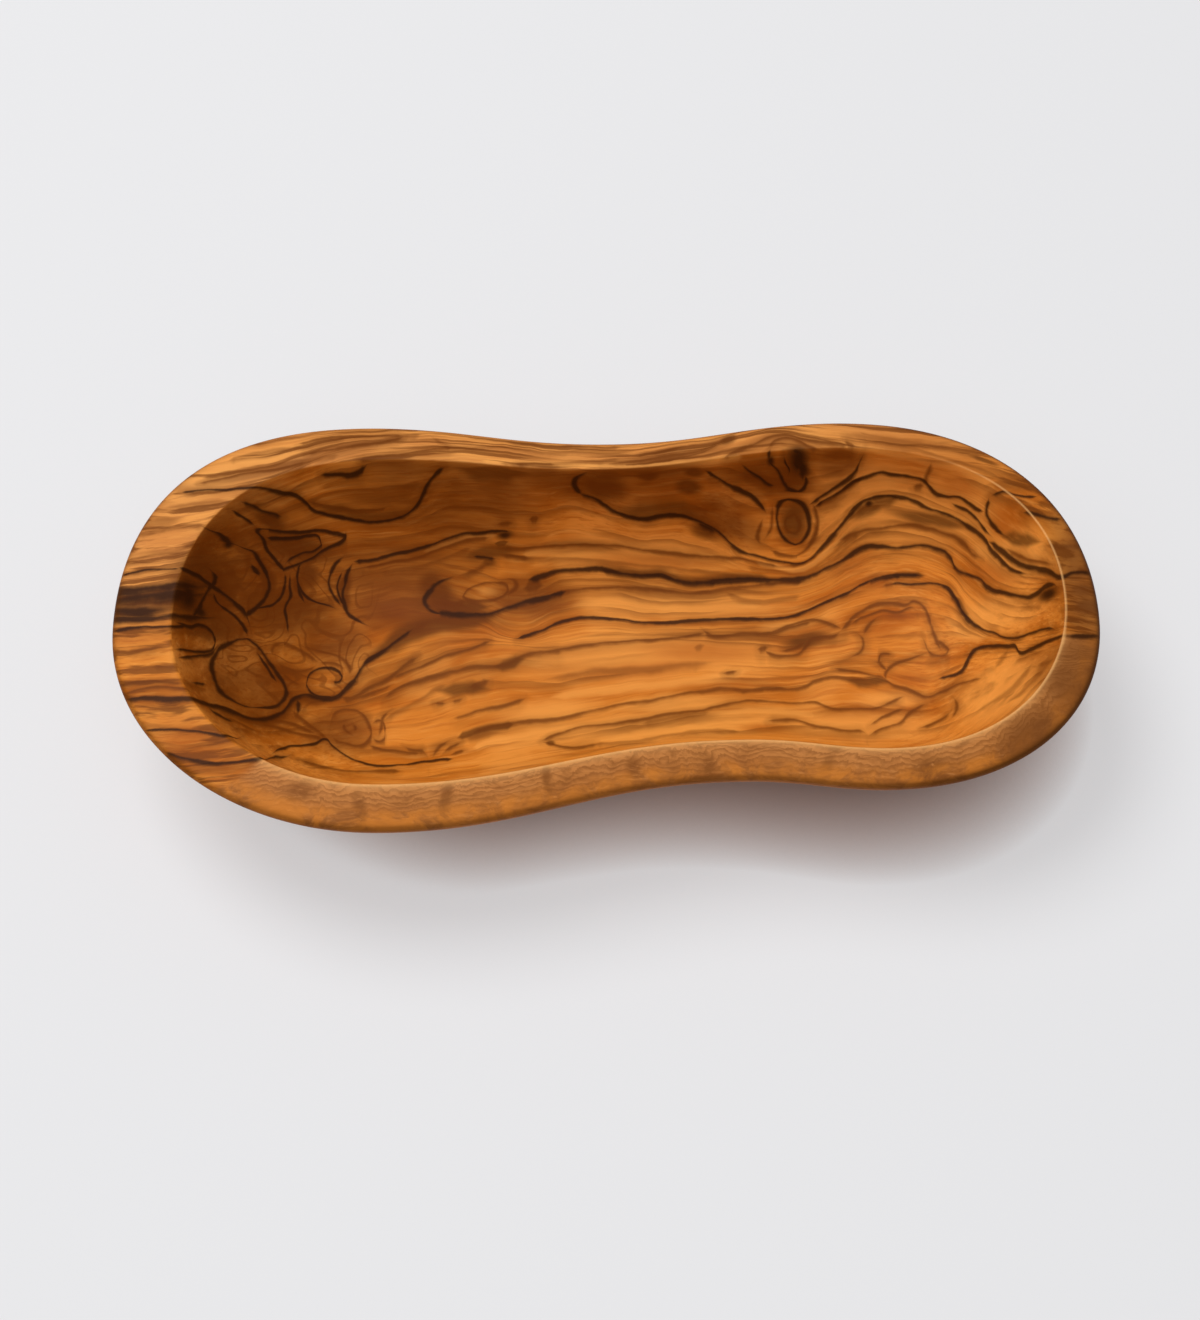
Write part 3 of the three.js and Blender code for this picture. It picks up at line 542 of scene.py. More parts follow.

# Round marks, here and in the tables below: the middle, how far each reaches along and across in pixels,
# and its turn in degrees.
# Paler wood, and painted light on the floor of the hollow and on the front and right inner walls.
PALE_AND_LIT_SPOTS = {
    "eye": ((488, 591), 17, 7, 0),
    "left back rim": ((214, 478), 66, 24, 30),
    "front middle": ((675, 704), 100, 14, 3),
    "front right": ((890, 700), 50, 14, 0),
    "above the leaf": ((785, 627), 44, 10, 8),
    "right of the arch": ((990, 552), 32, 14, -20),
    "corner rim": ((262, 458), 70, 14, 12),
    "front of the lobe": ((550, 712), 80, 20, 6),
    "right arch": ((895, 515), 140, 52, -8),
    "back right": ((872, 484), 70, 24, 0),
    "middle back": ((640, 554), 150, 26, 0),
    "under the middle": ((690, 606), 150, 22, 0),
    # From here to the end of this table: painted light on the front and right inner walls and on the floor
    # of the hollow.
    "front wall": ((640, 728), 240, 26, 4),
    "front wall right": ((860, 726), 130, 24, -2),
    "right front wall": ((1002, 690), 78, 44, 38),
    "right wall": ((1000, 612), 60, 30, 0),
    "right wall back": ((1016, 560), 50, 40, -30),
    "middle": ((640, 655), 190, 40, 3),
}

DARK_SPOTS = {
    "hook wedge": ((504, 536), 11, 6, 8),
    "black knot": ((798, 459), 14, 16, 0),
    "knot side": ((770, 461), 6, 6, 0),
    "shoulder blob": ((228, 545), 8, 6, 20),
    "wall pit": ((188, 596), 12, 22, 0),
    "wall pit lower": ((200, 612), 9, 8, 0),
    "arch spot": ((868, 504), 6, 5, 40),
    "right end corner": ((1048, 594), 10, 9, 0),
}

# Smoky marks; the two on the left wall are painted shade there.
SMOKY_AND_SHADED_SPOTS = {
    "ring": ((794, 522), 23, 27, 0),
    "between the arches": ((930, 520), 60, 7, -14),
    "eye left": ((440, 596), 20, 22, 0),
    "leaf patch": ((806, 640), 34, 11, 15),
    "left of the eye": ((432, 584), 20, 15, 0),
    "nut shade": ((490, 553), 42, 10, 4),
    "column": ((308, 576), 16, 18, 0),
    "right edge patch": ((985, 461), 20, 4, -20),
    "knot ground": ((796, 466), 26, 24, 0),
    "waist patch": ((604, 487), 34, 17, -8),
    "waist patch low": ((704, 531), 20, 10, -12),
    "waist rim smear": ((648, 475), 16, 5, 0),
    "fork smear": ((694, 472), 14, 6, 0),
    "fork shade": ((688, 487), 20, 9, 0),
    "front dot": ((551, 743), 6, 4, 0),
    "nut foot": ((490, 563), 10, 6, 0),
    "eye floor": ((446, 609), 22, 9, 0),
    "right diamond": ((1047, 595), 13, 10, 0),
    "wing": ((300, 548), 52, 18, -8),
    "wing core": ((296, 545), 26, 12, -5),
    # The next two are painted shade on the left inner wall, which faces away from the light.
    "left wall": ((205, 590), 46, 52, 0),
    "left wall low": ((215, 625), 40, 26, 0),
    "swirl ground": ((285, 610), 70, 34, 0),
    "tongue": ((270, 520), 22, 10, -20),
    "arch pocket": ((868, 510), 26, 10, 20),
    "rim at waist": ((728, 440), 12, 7, 30),
}

RUSTY_SPOTS = {
    "low left rim": ((196, 744), 66, 30, -30),
    "right swirl": ((884, 626), 40, 18, 12),
    "right swirl front": ((906, 678), 34, 14, 0),
    "leaf": ((796, 640), 50, 18, 12),
    "leaf left": ((704, 652), 84, 18, 0),
    "back rim right": ((930, 452), 150, 34, -16),
    "right swirl top": ((875, 580), 34, 12, 0),
    "under the arch": ((850, 564), 44, 18, 20),
    "right rim top": ((1020, 488), 60, 34, -30),
    "front right haze": ((764, 728), 34, 8, 0),
    "front haze": ((640, 670), 120, 13, 6),
    "ring": ((793, 522), 26, 32, 0),
    "right of the arch": ((958, 484), 34, 17, -25),
    "right wall": ((1010, 518), 30, 22, -40),
    "left lobe": ((390, 600), 60, 40, 0),
    "under the band": ((470, 640), 60, 16, 18),
    "middle": ((650, 562), 90, 12, 0),
    "right": ((990, 575), 40, 14, -25),
}

# Darker wood, which also serves as painted shade on the left and back inner walls, away from the light.
HEARTWOOD_AND_SHADE_SPOTS = {
    "left lobe low": ((332, 640), 64, 44, 0),
    "left of the eye": ((405, 602), 126, 50, 0),
    "right front rim": ((1032, 738), 64, 36, 40),
    "left front": ((262, 690), 95, 75, -15),
    "left lobe middle": ((392, 570), 140, 56, 0),
    "under the fork": ((722, 518), 64, 26, -20),
    "back wall left": ((450, 496), 160, 62, 0),
    "eye": ((530, 598), 74, 34, 0),
    "beside the knot": ((838, 462), 44, 20, 0),
    "left lobe foot": ((335, 730), 62, 34, 0),
    "back wall right": ((768, 474), 80, 24, 0),
    "right rim low": ((1078, 678), 60, 60, 30),
    "left lobe": ((244, 580), 165, 128, 0),
    "back wall at waist": ((600, 474), 190, 34, 0),
    "right rim": ((1088, 575), 54, 115, 0),
}

# Bars of darker wood across the sapwood.
SAPWOOD_SPOTS = {
    "left": ((300, 790), 26, 14, 10),
    "left lobe": ((360, 812), 10, 30, 10),
    "lobe": ((446, 800), 9, 34, -10),
    "waist left": ((546, 772), 6, 30, 8),
    "waist": ((634, 768), 12, 16, 10),
    "waist right": ((709, 768), 9, 14, 0),
    "right knot": ((836, 749), 12, 5, 0),
    "right": ((826, 768), 9, 20, -20),
    "right lobe": ((930, 770), 30, 16, 10),
}

# Where the figure curls up into burl.
BURL_SPOTS = {
    "left lobe": ((292, 630), 112, 108, 0),
}


def add_camera():
    camera = bpy.data.objects.new("camera", bpy.data.cameras.new("camera"))
    bpy.context.scene.collection.objects.link(camera)
    camera.data.lens = LENS
    camera.data.sensor_width = SENSOR
    camera.location = VIEW_AIM - sight_axis() * VIEW_DISTANCE
    camera.rotation_euler = (math.pi / 2 - VIEW_ELEVATION, 0, 0)
    bpy.context.scene.camera = camera


def sight_axis():
    return Vector((0, math.cos(VIEW_ELEVATION), -math.sin(VIEW_ELEVATION)))


def add_lights():
    world = bpy.data.worlds.new("studio")
    world.use_nodes = True
    sky = world.node_tree.nodes["Background"].inputs
    sky["Color"].default_value = SKY_COLOUR
    sky["Strength"].default_value = SKY_STRENGTH
    bpy.context.scene.world = world
    for name, (place, size, power) in PANELS.items():
        add_panel(name, place, size, power)


def add_panel(name, place, size, power):
    """A round soft light that faces the bowl."""
    panel = bpy.data.objects.new(name, bpy.data.lights.new(name, "AREA"))
    bpy.context.scene.collection.objects.link(panel)
    panel.data.shape = "DISK"
    panel.data.size = size
    panel.data.energy = power
    panel.location = place
    panel.rotation_euler = (LIGHT_AIM - panel.location).to_track_quat("-Z", "Y").to_euler()


def add_floor():
    mesh = bpy.data.meshes.new("table")
    bm = bmesh.new()
    below = Matrix.Translation((0, 0, -FLOOR_GAP))
    bmesh.ops.create_grid(bm, x_segments=1, y_segments=1, size=FLOOR_REACH, matrix=below)
    bm.to_mesh(mesh)
    bm.free()
    floor = bpy.data.objects.new("table", mesh)
    bpy.context.scene.collection.objects.link(floor)
    mesh.materials.append(pale_table())


def pale_table():
    material = bpy.data.materials.new("pale_table")
    material.use_nodes = True
    tree = material.node_tree
    shader = tree.nodes["Principled BSDF"]
    shader.inputs["Base Color"].default_value = FLOOR_COLOUR
    shader.inputs["Roughness"].default_value = FLOOR_ROUGHNESS
    shadow = soft_shadow(tree)
    glow = tree.nodes.new("ShaderNodeEmission")
    feed(tree, glow.inputs["Color"], scaled(tree, shadow, FLOOR_COLOUR[:3]))
    seen = tree.nodes.new("ShaderNodeMixShader")
    light_path = tree.nodes.new("ShaderNodeLightPath").outputs
    rays = calc(tree, "MAXIMUM", light_path["Is Camera Ray"], light_path["Is Glossy Ray"])
    rays = calc(tree, "MAXIMUM", rays, light_path["Is Transmission Ray"])
    feed(tree, seen.inputs["Fac"], times(tree, rays, FLOOR_GLOW))
    feed(tree, seen.inputs[1], shader.outputs["BSDF"])
    feed(tree, seen.inputs[2], glow.outputs["Emission"])
    feed(tree, tree.nodes["Material Output"].inputs["Surface"], seen.outputs["Shader"])
    return material


def soft_shadow(tree):
    """The light left in the table's glow beside the bowl by the painted soft shadow, in red, green and
    blue.
    """
    nearby = tree.nodes.new("ShaderNodeAmbientOcclusion")
    x = parts_of(tree, tree.nodes.new("ShaderNodeTexCoord").outputs["Object"])[0]
    right = ease(tree, x, *SHADOW_RIGHT)
    reach = calc(tree, "MULTIPLY_ADD", right, SHADOW_MORE_REACH, SHADOW_REACH)
    feed(tree, nearby.inputs["Distance"], reach)
    lit = calc(tree, "MULTIPLY_ADD", ease(tree, x, *SHADOW_LEFT), SHADOW_LESS, nearby.outputs["AO"])
    depth = calc(tree, "MULTIPLY_ADD", right, SHADOW_MORE_DEPTH, 1.0)
    lit = calc(tree, "POWER", calc(tree, "MINIMUM", lit, 1.0), depth)
    return vector_of(tree, *(calc(tree, "POWER", lit, fall) for fall in SHADOW_FALL))


# Nodes. These helpers join them up, or add one or two to a tree and return the last one's output.


def feed(tree, socket, value):
    if isinstance(value, bpy.types.NodeSocket):
        tree.links.new(value, socket)
    else:
        socket.default_value = value


def calc(tree, operation, *values):
    node = tree.nodes.new("ShaderNodeMath")
    node.operation = operation
    for socket, value in zip(node.inputs, values):
        feed(tree, socket, value)
    return node.outputs["Value"]


def times(tree, first, second):
    return calc(tree, "MULTIPLY", first, second)


def vector_calc(tree, operation, *values):
    node = tree.nodes.new("ShaderNodeVectorMath")
    node.operation = operation
    for socket, value in zip(node.inputs, values):
        feed(tree, socket, value)
    return node.outputs["Value" if operation in ("LENGTH", "DOT_PRODUCT") else "Vector"]


def scaled(tree, vector, sizes):
    return vector_calc(tree, "MULTIPLY", vector, sizes)


def vector_of(tree, x, y, z):
    node = tree.nodes.new("ShaderNodeCombineXYZ")
    for socket, value in zip(node.inputs, (x, y, z)):
        feed(tree, socket, value)
    return node.outputs["Vector"]


def parts_of(tree, vector):
    node = tree.nodes.new("ShaderNodeSeparateXYZ")
    feed(tree, node.inputs["Vector"], vector)
    return node.outputs


def ease(tree, value, start, end):
    """0 at the start, 1 at the end and smooth between them."""
    node = tree.nodes.new("ShaderNodeMapRange")
    node.interpolation_type = "SMOOTHSTEP"
    for name, given in (("Value", value), ("From Min", start), ("From Max", end)):
        feed(tree, node.inputs[name], given)
    return node.outputs["Result"]


def noise(tree, place, scale=1.0, detail=2.0, roughness=0.5, distortion=0.0, output="Fac"):
    node = tree.nodes.new("ShaderNodeTexNoise")
    values = (("Vector", place), ("Scale", scale), ("Detail", detail), ("Roughness", roughness))
    for name, given in (*values, ("Distortion", distortion)):
        feed(tree, node.inputs[name], given)
    return node.outputs[output]


def mark(tree, name):
    """A value that the mesh carries at its corners."""
    node = tree.nodes.new("ShaderNodeAttribute")
    node.attribute_name = name
    return node.outputs["Fac"]


def tint(tree, amount, first, second):
    node = tree.nodes.new("ShaderNodeMix")
    node.data_type = "RGBA"
    sockets = {socket.identifier: socket for socket in node.inputs}
    for name, given in (("Factor_Float", amount), ("A_Color", first), ("B_Color", second)):
        feed(tree, sockets[name], given)
    return next(socket for socket in node.outputs if socket.identifier == "Result_Color")


def stain(tree, colour, shade, mask, part):
    """Lays a shade over a colour where the mask is, by the given part at most."""
    return tint(tree, times(tree, mask, part), colour, shade)


def curves(tree, place, lines, handle="AUTO"):
    """Three curves, one for each part of the vector that they are read at."""
    node = tree.nodes.new("ShaderNodeVectorCurve")
    mapping = node.mapping
    mapping.use_clip = False
    mapping.extend = "HORIZONTAL"
    mapping.clip_min_x = min(line[0][0] for line in lines)
    mapping.clip_max_x = max(line[-1][0] for line in lines)
    for curve, line in zip(mapping.curves, lines):
        curve.points[0].location = line[0]
        curve.points[1].location = line[-1]
        for x, y in line[1:-1]:
            curve.points.new(x, y)
        for point in curve.points:
            point.handle_type = handle
    mapping.update()
    feed(tree, node.inputs["Vector"], place)
    return node.outputs["Vector"]


# The figure of the wood.


def figure_place(pixel, surface):
    """Carries a pixel of the photograph on to the bowl, and gives its place on the figure's plane."""
    pixel_size = SENSOR / LENS / max(PICTURE)
    across = (pixel[0] - PICTURE[0] / 2) * pixel_size
    up = (PICTURE[1] / 2 - pixel[1]) * pixel_size
    axis = sight_axis()
    sight = axis + Vector((across, 0, 0))
    sight += Vector((0, math.sin(VIEW_ELEVATION), math.cos(VIEW_ELEVATION))) * up
    eye = VIEW_AIM - axis * VIEW_DISTANCE
    hit = surface.ray_cast(eye, sight)[0]
    if hit is None:
        hit = eye + sight * ((RIM_EDGE_HEIGHT * MM - eye.z) / sight.z)
    return hit.x / CM, hit.dot(FIGURE_ACROSS) / CM


def figure_line(pixels, surface):
    return [figure_place(pixel, surface) for pixel in pixels]


def runs_of(line):
    """Cuts a line into runs that keep going one way, along the figure (0) or across it (1)."""
    runs = []
    start = 0
    while start + 1 < len(line):
        choices = []
        for axis in (0, 1):
            end = start + 1
            way = line[end][axis] - line[start][axis]
            while end + 1 < len(line) and (line[end + 1][axis] - line[end][axis]) * way > 0:
                end += 1
            choices.append((end, abs(line[end][axis] - line[start][axis]), axis))
        end, _, axis = max(choices)
        points = [(point[axis], point[1 - axis]) for point in line[start:end + 1]]
        closed = line[0] == line[-1]
        tapers = [start == 0 and not closed, end == len(line) - 1 and not closed]
        if points[0][0] > points[-1][0]:
            points.reverse()
            tapers.reverse()
        runs.append((axis, points, tapers))
        start = end
    return runs


def stroke_strength(points, tapers, width):
    """Full along a run, and tapered to nothing at the ends of the whole stroke."""
    first, last = points[0][0], points[-1][0]
    taper = WIDE_TAPER * width if width > WIDE_STROKE else NARROW_TAPER
    taper = min(taper, MOST_TAPER * (last - first))
    start = [(first - CUT_FADE, GONE), (first - CUT_OVERLAP, 1)]
    end = [(last + CUT_OVERLAP, 1), (last + CUT_FADE, GONE)]
    if tapers[0]:
        start = [(first - END_FADE, GONE), (first, 0), (first + taper, 1)]
    if tapers[1]:
        end = [(last - taper, 1), (last, 0), (last + END_FADE, GONE)]
    return start + end


def stroke_lean(points):
    """How much a run's slope narrows it, at each of its points."""
    leans = []
    for i, (x, _) in enumerate(points):
        before, after = points[max(i - 1, 0)], points[min(i + 1, len(points) - 1)]
        run, rise = after[0] - before[0], after[1] - before[1]
        leans.append((x, max(LEAST_LEAN, run / math.hypot(run, rise))))
    return leans


# A curve node holds three curves. These fill it up where a run or a gap is missing, and show nothing.
CURVES = 3
IDLE_RUN = ([(-1, 0), (1, 0)], [(-1, NOTHING), (1, NOTHING)], [(-1, 1), (1, 1)], 1, 1)
IDLE_GAP = ([(-1, 90), (1, 90)], [(-1, 89), (1, 89)])


def draw_strokes(tree, along, across, strokes, surface):
    """Draws strokes, three to a node. The result is 1 in the middle of a stroke and 0 at its sides."""
    runs = {0: [], 1: []}
    for back, front, pixels in strokes:
        for axis, points, tapers in runs_of(figure_line(pixels, surface)):
            sides = (back, front) if axis == 0 else (0.5 * (back + front),) * 2
            strength = stroke_strength(points, tapers, max(sides))
            runs[axis].append((points, strength, stroke_lean(points), *sides))
    height = (NOTHING,) * CURVES
    for axis, (reading, measured) in enumerate(((along, across), (across, along))):
        queue = sorted(runs[axis], key=lambda run: run[0][0][0] + run[0][-1][0])
        queue += [IDLE_RUN] * (-len(queue) % CURVES)
        for i in range(0, len(queue), CURVES):
            lines, strengths, leans, backs, fronts = zip(*queue[i:i + CURVES])
            offset = vector_calc(tree, "SUBTRACT", measured, curves(tree, reading, lines))
            offset = scaled(tree, offset, curves(tree, reading, leans, "VECTOR"))
            behind = scaled(tree, offset, [MM_PER_CM / back for back in backs])
            before = scaled(tree, offset, [-MM_PER_CM / front for front in fronts])
            away = vector_calc(tree, "MAXIMUM", behind, before)
            stroke = vector_calc(tree, "SUBTRACT", curves(tree, reading, strengths, "VECTOR"), away)
            height = vector_calc(tree, "MAXIMUM", height, stroke)
    x, y, z = parts_of(tree, height)
    return calc(tree, "MAXIMUM", calc(tree, "MAXIMUM", x, y), z)


def spot_distance(tree, figure, spot, surface):
    """Distance from the middle of a round mark, 1 at its edge."""
    middle, reach, rise, turn = spot
    x, y = figure_place(middle, surface)
    squares = 0.0
    for angle, size in ((turn, reach / PIXELS_ALONG), (turn + 90, rise / PIXELS_ACROSS)):
        way_x, way_y = math.cos(math.radians(angle)) / size, math.sin(math.radians(angle)) / size
        away = vector_calc(tree, "DOT_PRODUCT", figure, (way_x, way_y, -way_x * x - way_y * y))
        squares = calc(tree, "MULTIPLY_ADD", away, away, squares)
    return calc(tree, "SQRT", squares)


def draw_spots(tree, figure, spots, surface, inner):
    """Soft round marks: 1 inside the given part of each one, and 0 at its edge."""
    mask = 0.0
    for spot in spots:
        distance = spot_distance(tree, figure, spot, surface)
        mask = calc(tree, "MAXIMUM", mask, ease(tree, distance, 1.0, inner))
    return mask


def new_group(name, outputs):
    """An empty node group that reads the figure and gives plain values."""
    tree = bpy.data.node_groups.new(name, "ShaderNodeTree")
    tree.interface.new_socket(name="Figure", in_out="INPUT", socket_type="NodeSocketVector")
    for output in outputs:
        tree.interface.new_socket(name=output, in_out="OUTPUT", socket_type="NodeSocketFloat")
    figure = tree.nodes.new("NodeGroupInput").outputs["Figure"]
    x, y, _ = parts_of(tree, figure)
    return tree, figure, vector_of(tree, x, x, x), vector_of(tree, y, y, y)


def close_group(tree, results):
    end = tree.nodes.new("NodeGroupOutput")
    for name, result in results.items():
        feed(tree, end.inputs[name], result)
    return tree


def use_group(tree, group, figure):
    node = tree.nodes.new("ShaderNodeGroup")
    node.node_tree = group
    feed(tree, node.inputs["Figure"], figure)
    return node.outputs


def growth_group(surface):
    """How far a place lies through the growth lines, counted in lines from the front."""
    tree, _, along, across = new_group("olive_growth", ["Growth"])
    lines = [figure_line(line, surface) for line in GROWTH_LINES]
    gaps = list(zip(lines, lines[1:]))
    gaps += [IDLE_GAP] * (-len(gaps) % CURVES)
    growth = 0.0
    for i in range(0, len(gaps), CURVES):
        backs, fronts = zip(*gaps[i:i + CURVES])
        node = tree.nodes.new("ShaderNodeMapRange")
        node.data_type = "FLOAT_VECTOR"
        sockets = {socket.identifier: socket for socket in node.inputs}
        feed(tree, sockets["Vector"], across)
        feed(tree, sockets["From_Min_FLOAT3"], curves(tree, along, fronts))
        feed(tree, sockets["From_Max_FLOAT3"], curves(tree, along, backs))
        steps = vector_calc(tree, "DOT_PRODUCT", node.outputs["Vector"], (1, 1, 1))
        growth = calc(tree, "ADD", growth, steps)
    return close_group(tree, {"Growth": growth})


def ragged_edge(tree, figure):
    """What is taken off a stroke's height, so that its sides are uneven and it swells here and there."""
    ragged = times(tree, noise(tree, figure, scale=7.0, detail=3.0), 0.3)
    swelling = noise(tree, scaled(tree, figure, (0.8, 1.8, 1)))
    thinned = calc(tree, "MULTIPLY_ADD", ease(tree, swelling, 0.62, 0.38), 0.3, -0.1)
    return calc(tree, "ADD", ragged, thinned)


def veins_group(surface):
    """Masks for the veins, lines, shades and marks that were traced."""
    names = ("Dark", "Brown", "Faint", "Halo", "Smoke_and_shade", "Rust", "Pale_and_lit")
    names += ("Heartwood_and_shade", "Sapwood", "Bars", "Burl")
    tree, figure, along, across = new_group("olive_veins", names)
    ragged = ragged_edge(tree, figure)

    def strokes(rows):
        return draw_strokes(tree, along, across, rows, surface)

    def lines(table, spread):
        back, front = spread
        return strokes([(back * width, front * width, pixels) for width, pixels in table.values()])

    def uneven(height, start, end):
        return ease(tree, calc(tree, "SUBTRACT", height, ragged), start, end)

    def spots(table, inner):
        return draw_spots(tree, figure, table.values(), surface, inner)

    dark_height = lines(DARK_VEINS, DARK_SPREAD)
    brown_height = lines(BROWN_LINES, BROWN_SPREAD)
    dark = uneven(dark_height, -0.1, 0.7)
    brown = uneven(brown_height, -0.2, 0.8)
    faint = uneven(lines(FAINT_LINES, FAINT_SPREAD), -0.3, 0.8)
    halo = ease(tree, calc(tree, "MAXIMUM", dark_height, brown_height), -2.4, 0.7)
    smoke = ease(tree, strokes(SMOKY_SHADES.values()), 0.0, 0.7)
    # Paler wood, and painted light on the floor of the hollow and on the front and right inner walls.
    pale_and_lit = ease(tree, strokes(PALE_AND_LIT_STREAKS.values()), 0.0, 0.9)
    pale_and_lit = calc(tree, "MAXIMUM", pale_and_lit, spots(PALE_AND_LIT_SPOTS, inner=0.2))
    dark = calc(tree, "MAXIMUM", dark, spots(DARK_SPOTS, inner=0.15))
    # Smoky marks, with painted shade on the left inner wall.
    smoke = calc(tree, "MAXIMUM", smoke, spots(SMOKY_AND_SHADED_SPOTS, inner=0.3))
    rust = spots(RUSTY_SPOTS, inner=0.2)
    # Darker wood, with painted shade on the left and back inner walls.
    heartwood_and_shade = spots(HEARTWOOD_AND_SHADE_SPOTS, inner=0.25)
    sapwood_line = figure_line(SAPWOOD_LINE, surface)
    before = vector_calc(tree, "SUBTRACT", curves(tree, along, (sapwood_line,) * CURVES), across)
    sapwood = ease(tree, parts_of(tree, before)[0], -0.1, 0.25)
    bars = spots(SAPWOOD_SPOTS, inner=0.2)
    burl = spots(BURL_SPOTS, inner=0.55)
    results = (dark, brown, faint, halo, smoke, rust, pale_and_lit, heartwood_and_shade, sapwood, bars, burl)
    return close_group(tree, dict(zip(names, results)))


# The wood's material, from its ground to its finish.


def read_wood(tree, surface):
    """What the colours are made from: places in centimetres, growth, traced masks and streaks."""
    per_cm = 1 / CM
    place = scaled(tree, tree.nodes.new("ShaderNodeTexCoord").outputs["Object"], (per_cm, per_cm, per_cm))
    x, y, z = parts_of(tree, place)
    wander = noise(tree, place, scale=1.1, output="Color")
    wander = scaled(tree, vector_calc(tree, "SUBTRACT", wander, (0.5, 0.5, 0.5)), (0.16, 0.16, 0))
    flat = vector_of(tree, x, vector_calc(tree, "DOT_PRODUCT", place, FIGURE_ACROSS), 1.0)
    figure = vector_calc(tree, "ADD", flat, wander)
    growth = use_group(tree, growth_group(surface), figure)["Growth"]
    veins = use_group(tree, veins_group(surface), figure)
    wood = SimpleNamespace(tree=tree, place=place, x=x, y=y, z=z, growth=growth, veins=veins)
    wood.bands = streaks(wood, along=0.11, across=1.9, detail=3.0)
    wood.smoulder = streaks(wood, along=0.19, across=2.7, detail=4.0)
    wood.fibres = streaks(wood, along=0.45, across=11.0, detail=3.0, roughness=0.65)
    return wood


def streaks(wood, along, across, detail, roughness=0.55):
    """Noise that is drawn out along the growth lines."""
    tree = wood.tree
    depth = times(tree, wood.z, 0.5 * across)
    place = vector_of(tree, times(tree, wood.x, along), times(tree, wood.growth, across), depth)
    return noise(tree, place, detail=detail, roughness=roughness)


def ground_colour(wood):
    """Gold bands, with paler and rustier fibres."""
    tree, fibres, veins = wood.tree, wood.fibres, wood.veins
    blotches = noise(tree, wood.place, scale=0.55)
    colour = tint(tree, ease(tree, wood.bands, 0.34, 0.62), DEEP_GOLD, GOLD)
    colour = stain(tree, colour, PALE_GOLD, ease(tree, blotches, 0.45, 0.7), part=0.45)
    colour = stain(tree, colour, PALE_GOLD, ease(tree, fibres, 0.48, 0.75), part=0.55)
    colour = stain(tree, colour, RUST, ease(tree, fibres, 0.47, 0.25), part=0.5)
    threads = streaks(wood, along=0.3, across=24.0, detail=2.0)
    colour = stain(tree, colour, RUST, ease(tree, threads, 0.5, 0.7), part=0.4)
    # Paler wood, and painted light on the floor of the hollow and on the front and right inner walls.
    colour = stain(tree, colour, PALE_GOLD, veins["Pale_and_lit"], part=0.72)
    colour = stain(tree, colour, RUST, veins["Rust"], part=0.5)
    return stain(tree, colour, UMBER, ease(tree, wood.smoulder, 0.54, 0.74), part=0.5)


def ring_mask(wood):
    """Growth rings, each of which darkens slowly and ends at once."""
    tree = wood.tree
    warp = times(tree, streaks(wood, along=0.3, across=0.6, detail=2.0), 1.6)
    ring = calc(tree, "FRACT", calc(tree, "MULTIPLY_ADD", wood.growth, 3.6, warp))
    ring = times(tree, ease(tree, ring, 0.35, 0.97), ease(tree, ring, 1.0, 0.95))
    return times(tree, ring, ease(tree, streaks(wood, along=0.22, across=2.9, detail=2.0), 0.44, 0.62))


def burl_mask(wood):
    """Thin curled lines."""
    tree = wood.tree
    bend = noise(tree, wood.place, scale=0.6, detail=1.0, output="Color")
    bend = scaled(tree, bend, (2.4, 2.4, 2.4))
    field = noise(tree, vector_calc(tree, "ADD", wood.place, bend), scale=0.75, detail=1.0)
    wave = calc(tree, "SINE", times(tree, field, 44.0))
    return times(tree, ease(tree, wave, 0.5, 1.0), wood.veins["Burl"])


def figure_colour(wood, colour):
    """A painted highlight on the back and left rim, then smoke with painted shade, rings, burl and brown
    lines.
    """
    tree, veins = wood.tree, wood.veins
    # Painted highlight: the rim lighter towards the back and the left, the side the light comes from.
    backward = calc(tree, "SUBTRACT", wood.y, times(tree, wood.x, 0.25))
    far_rim_highlight = times(tree, ease(tree, backward, 1.2, 5.0), wood.on_rim)
    colour = stain(tree, colour, PAINTED_HIGHLIGHT, far_rim_highlight, part=0.24)
    ring = ring_mask(wood)
    burl = burl_mask(wood)
    # Smoky wood, and painted shade on the left inner wall.
    smoke = times(tree, veins["Smoke_and_shade"], ease(tree, wood.fibres, -0.2, 0.55))
    halo = times(tree, veins["Halo"], ease(tree, wood.smoulder, 0.3, 0.6))
    colour = stain(tree, colour, SMOKE_AND_SHADE, smoke, part=0.78)
    lines = ((halo, 0.46), (ring, 0.5), (burl, 0.55), (veins["Faint"], 0.5), (veins["Brown"], 0.8))
    for mask, part in lines:
        colour = stain(tree, colour, UMBER, mask, part)
    return colour


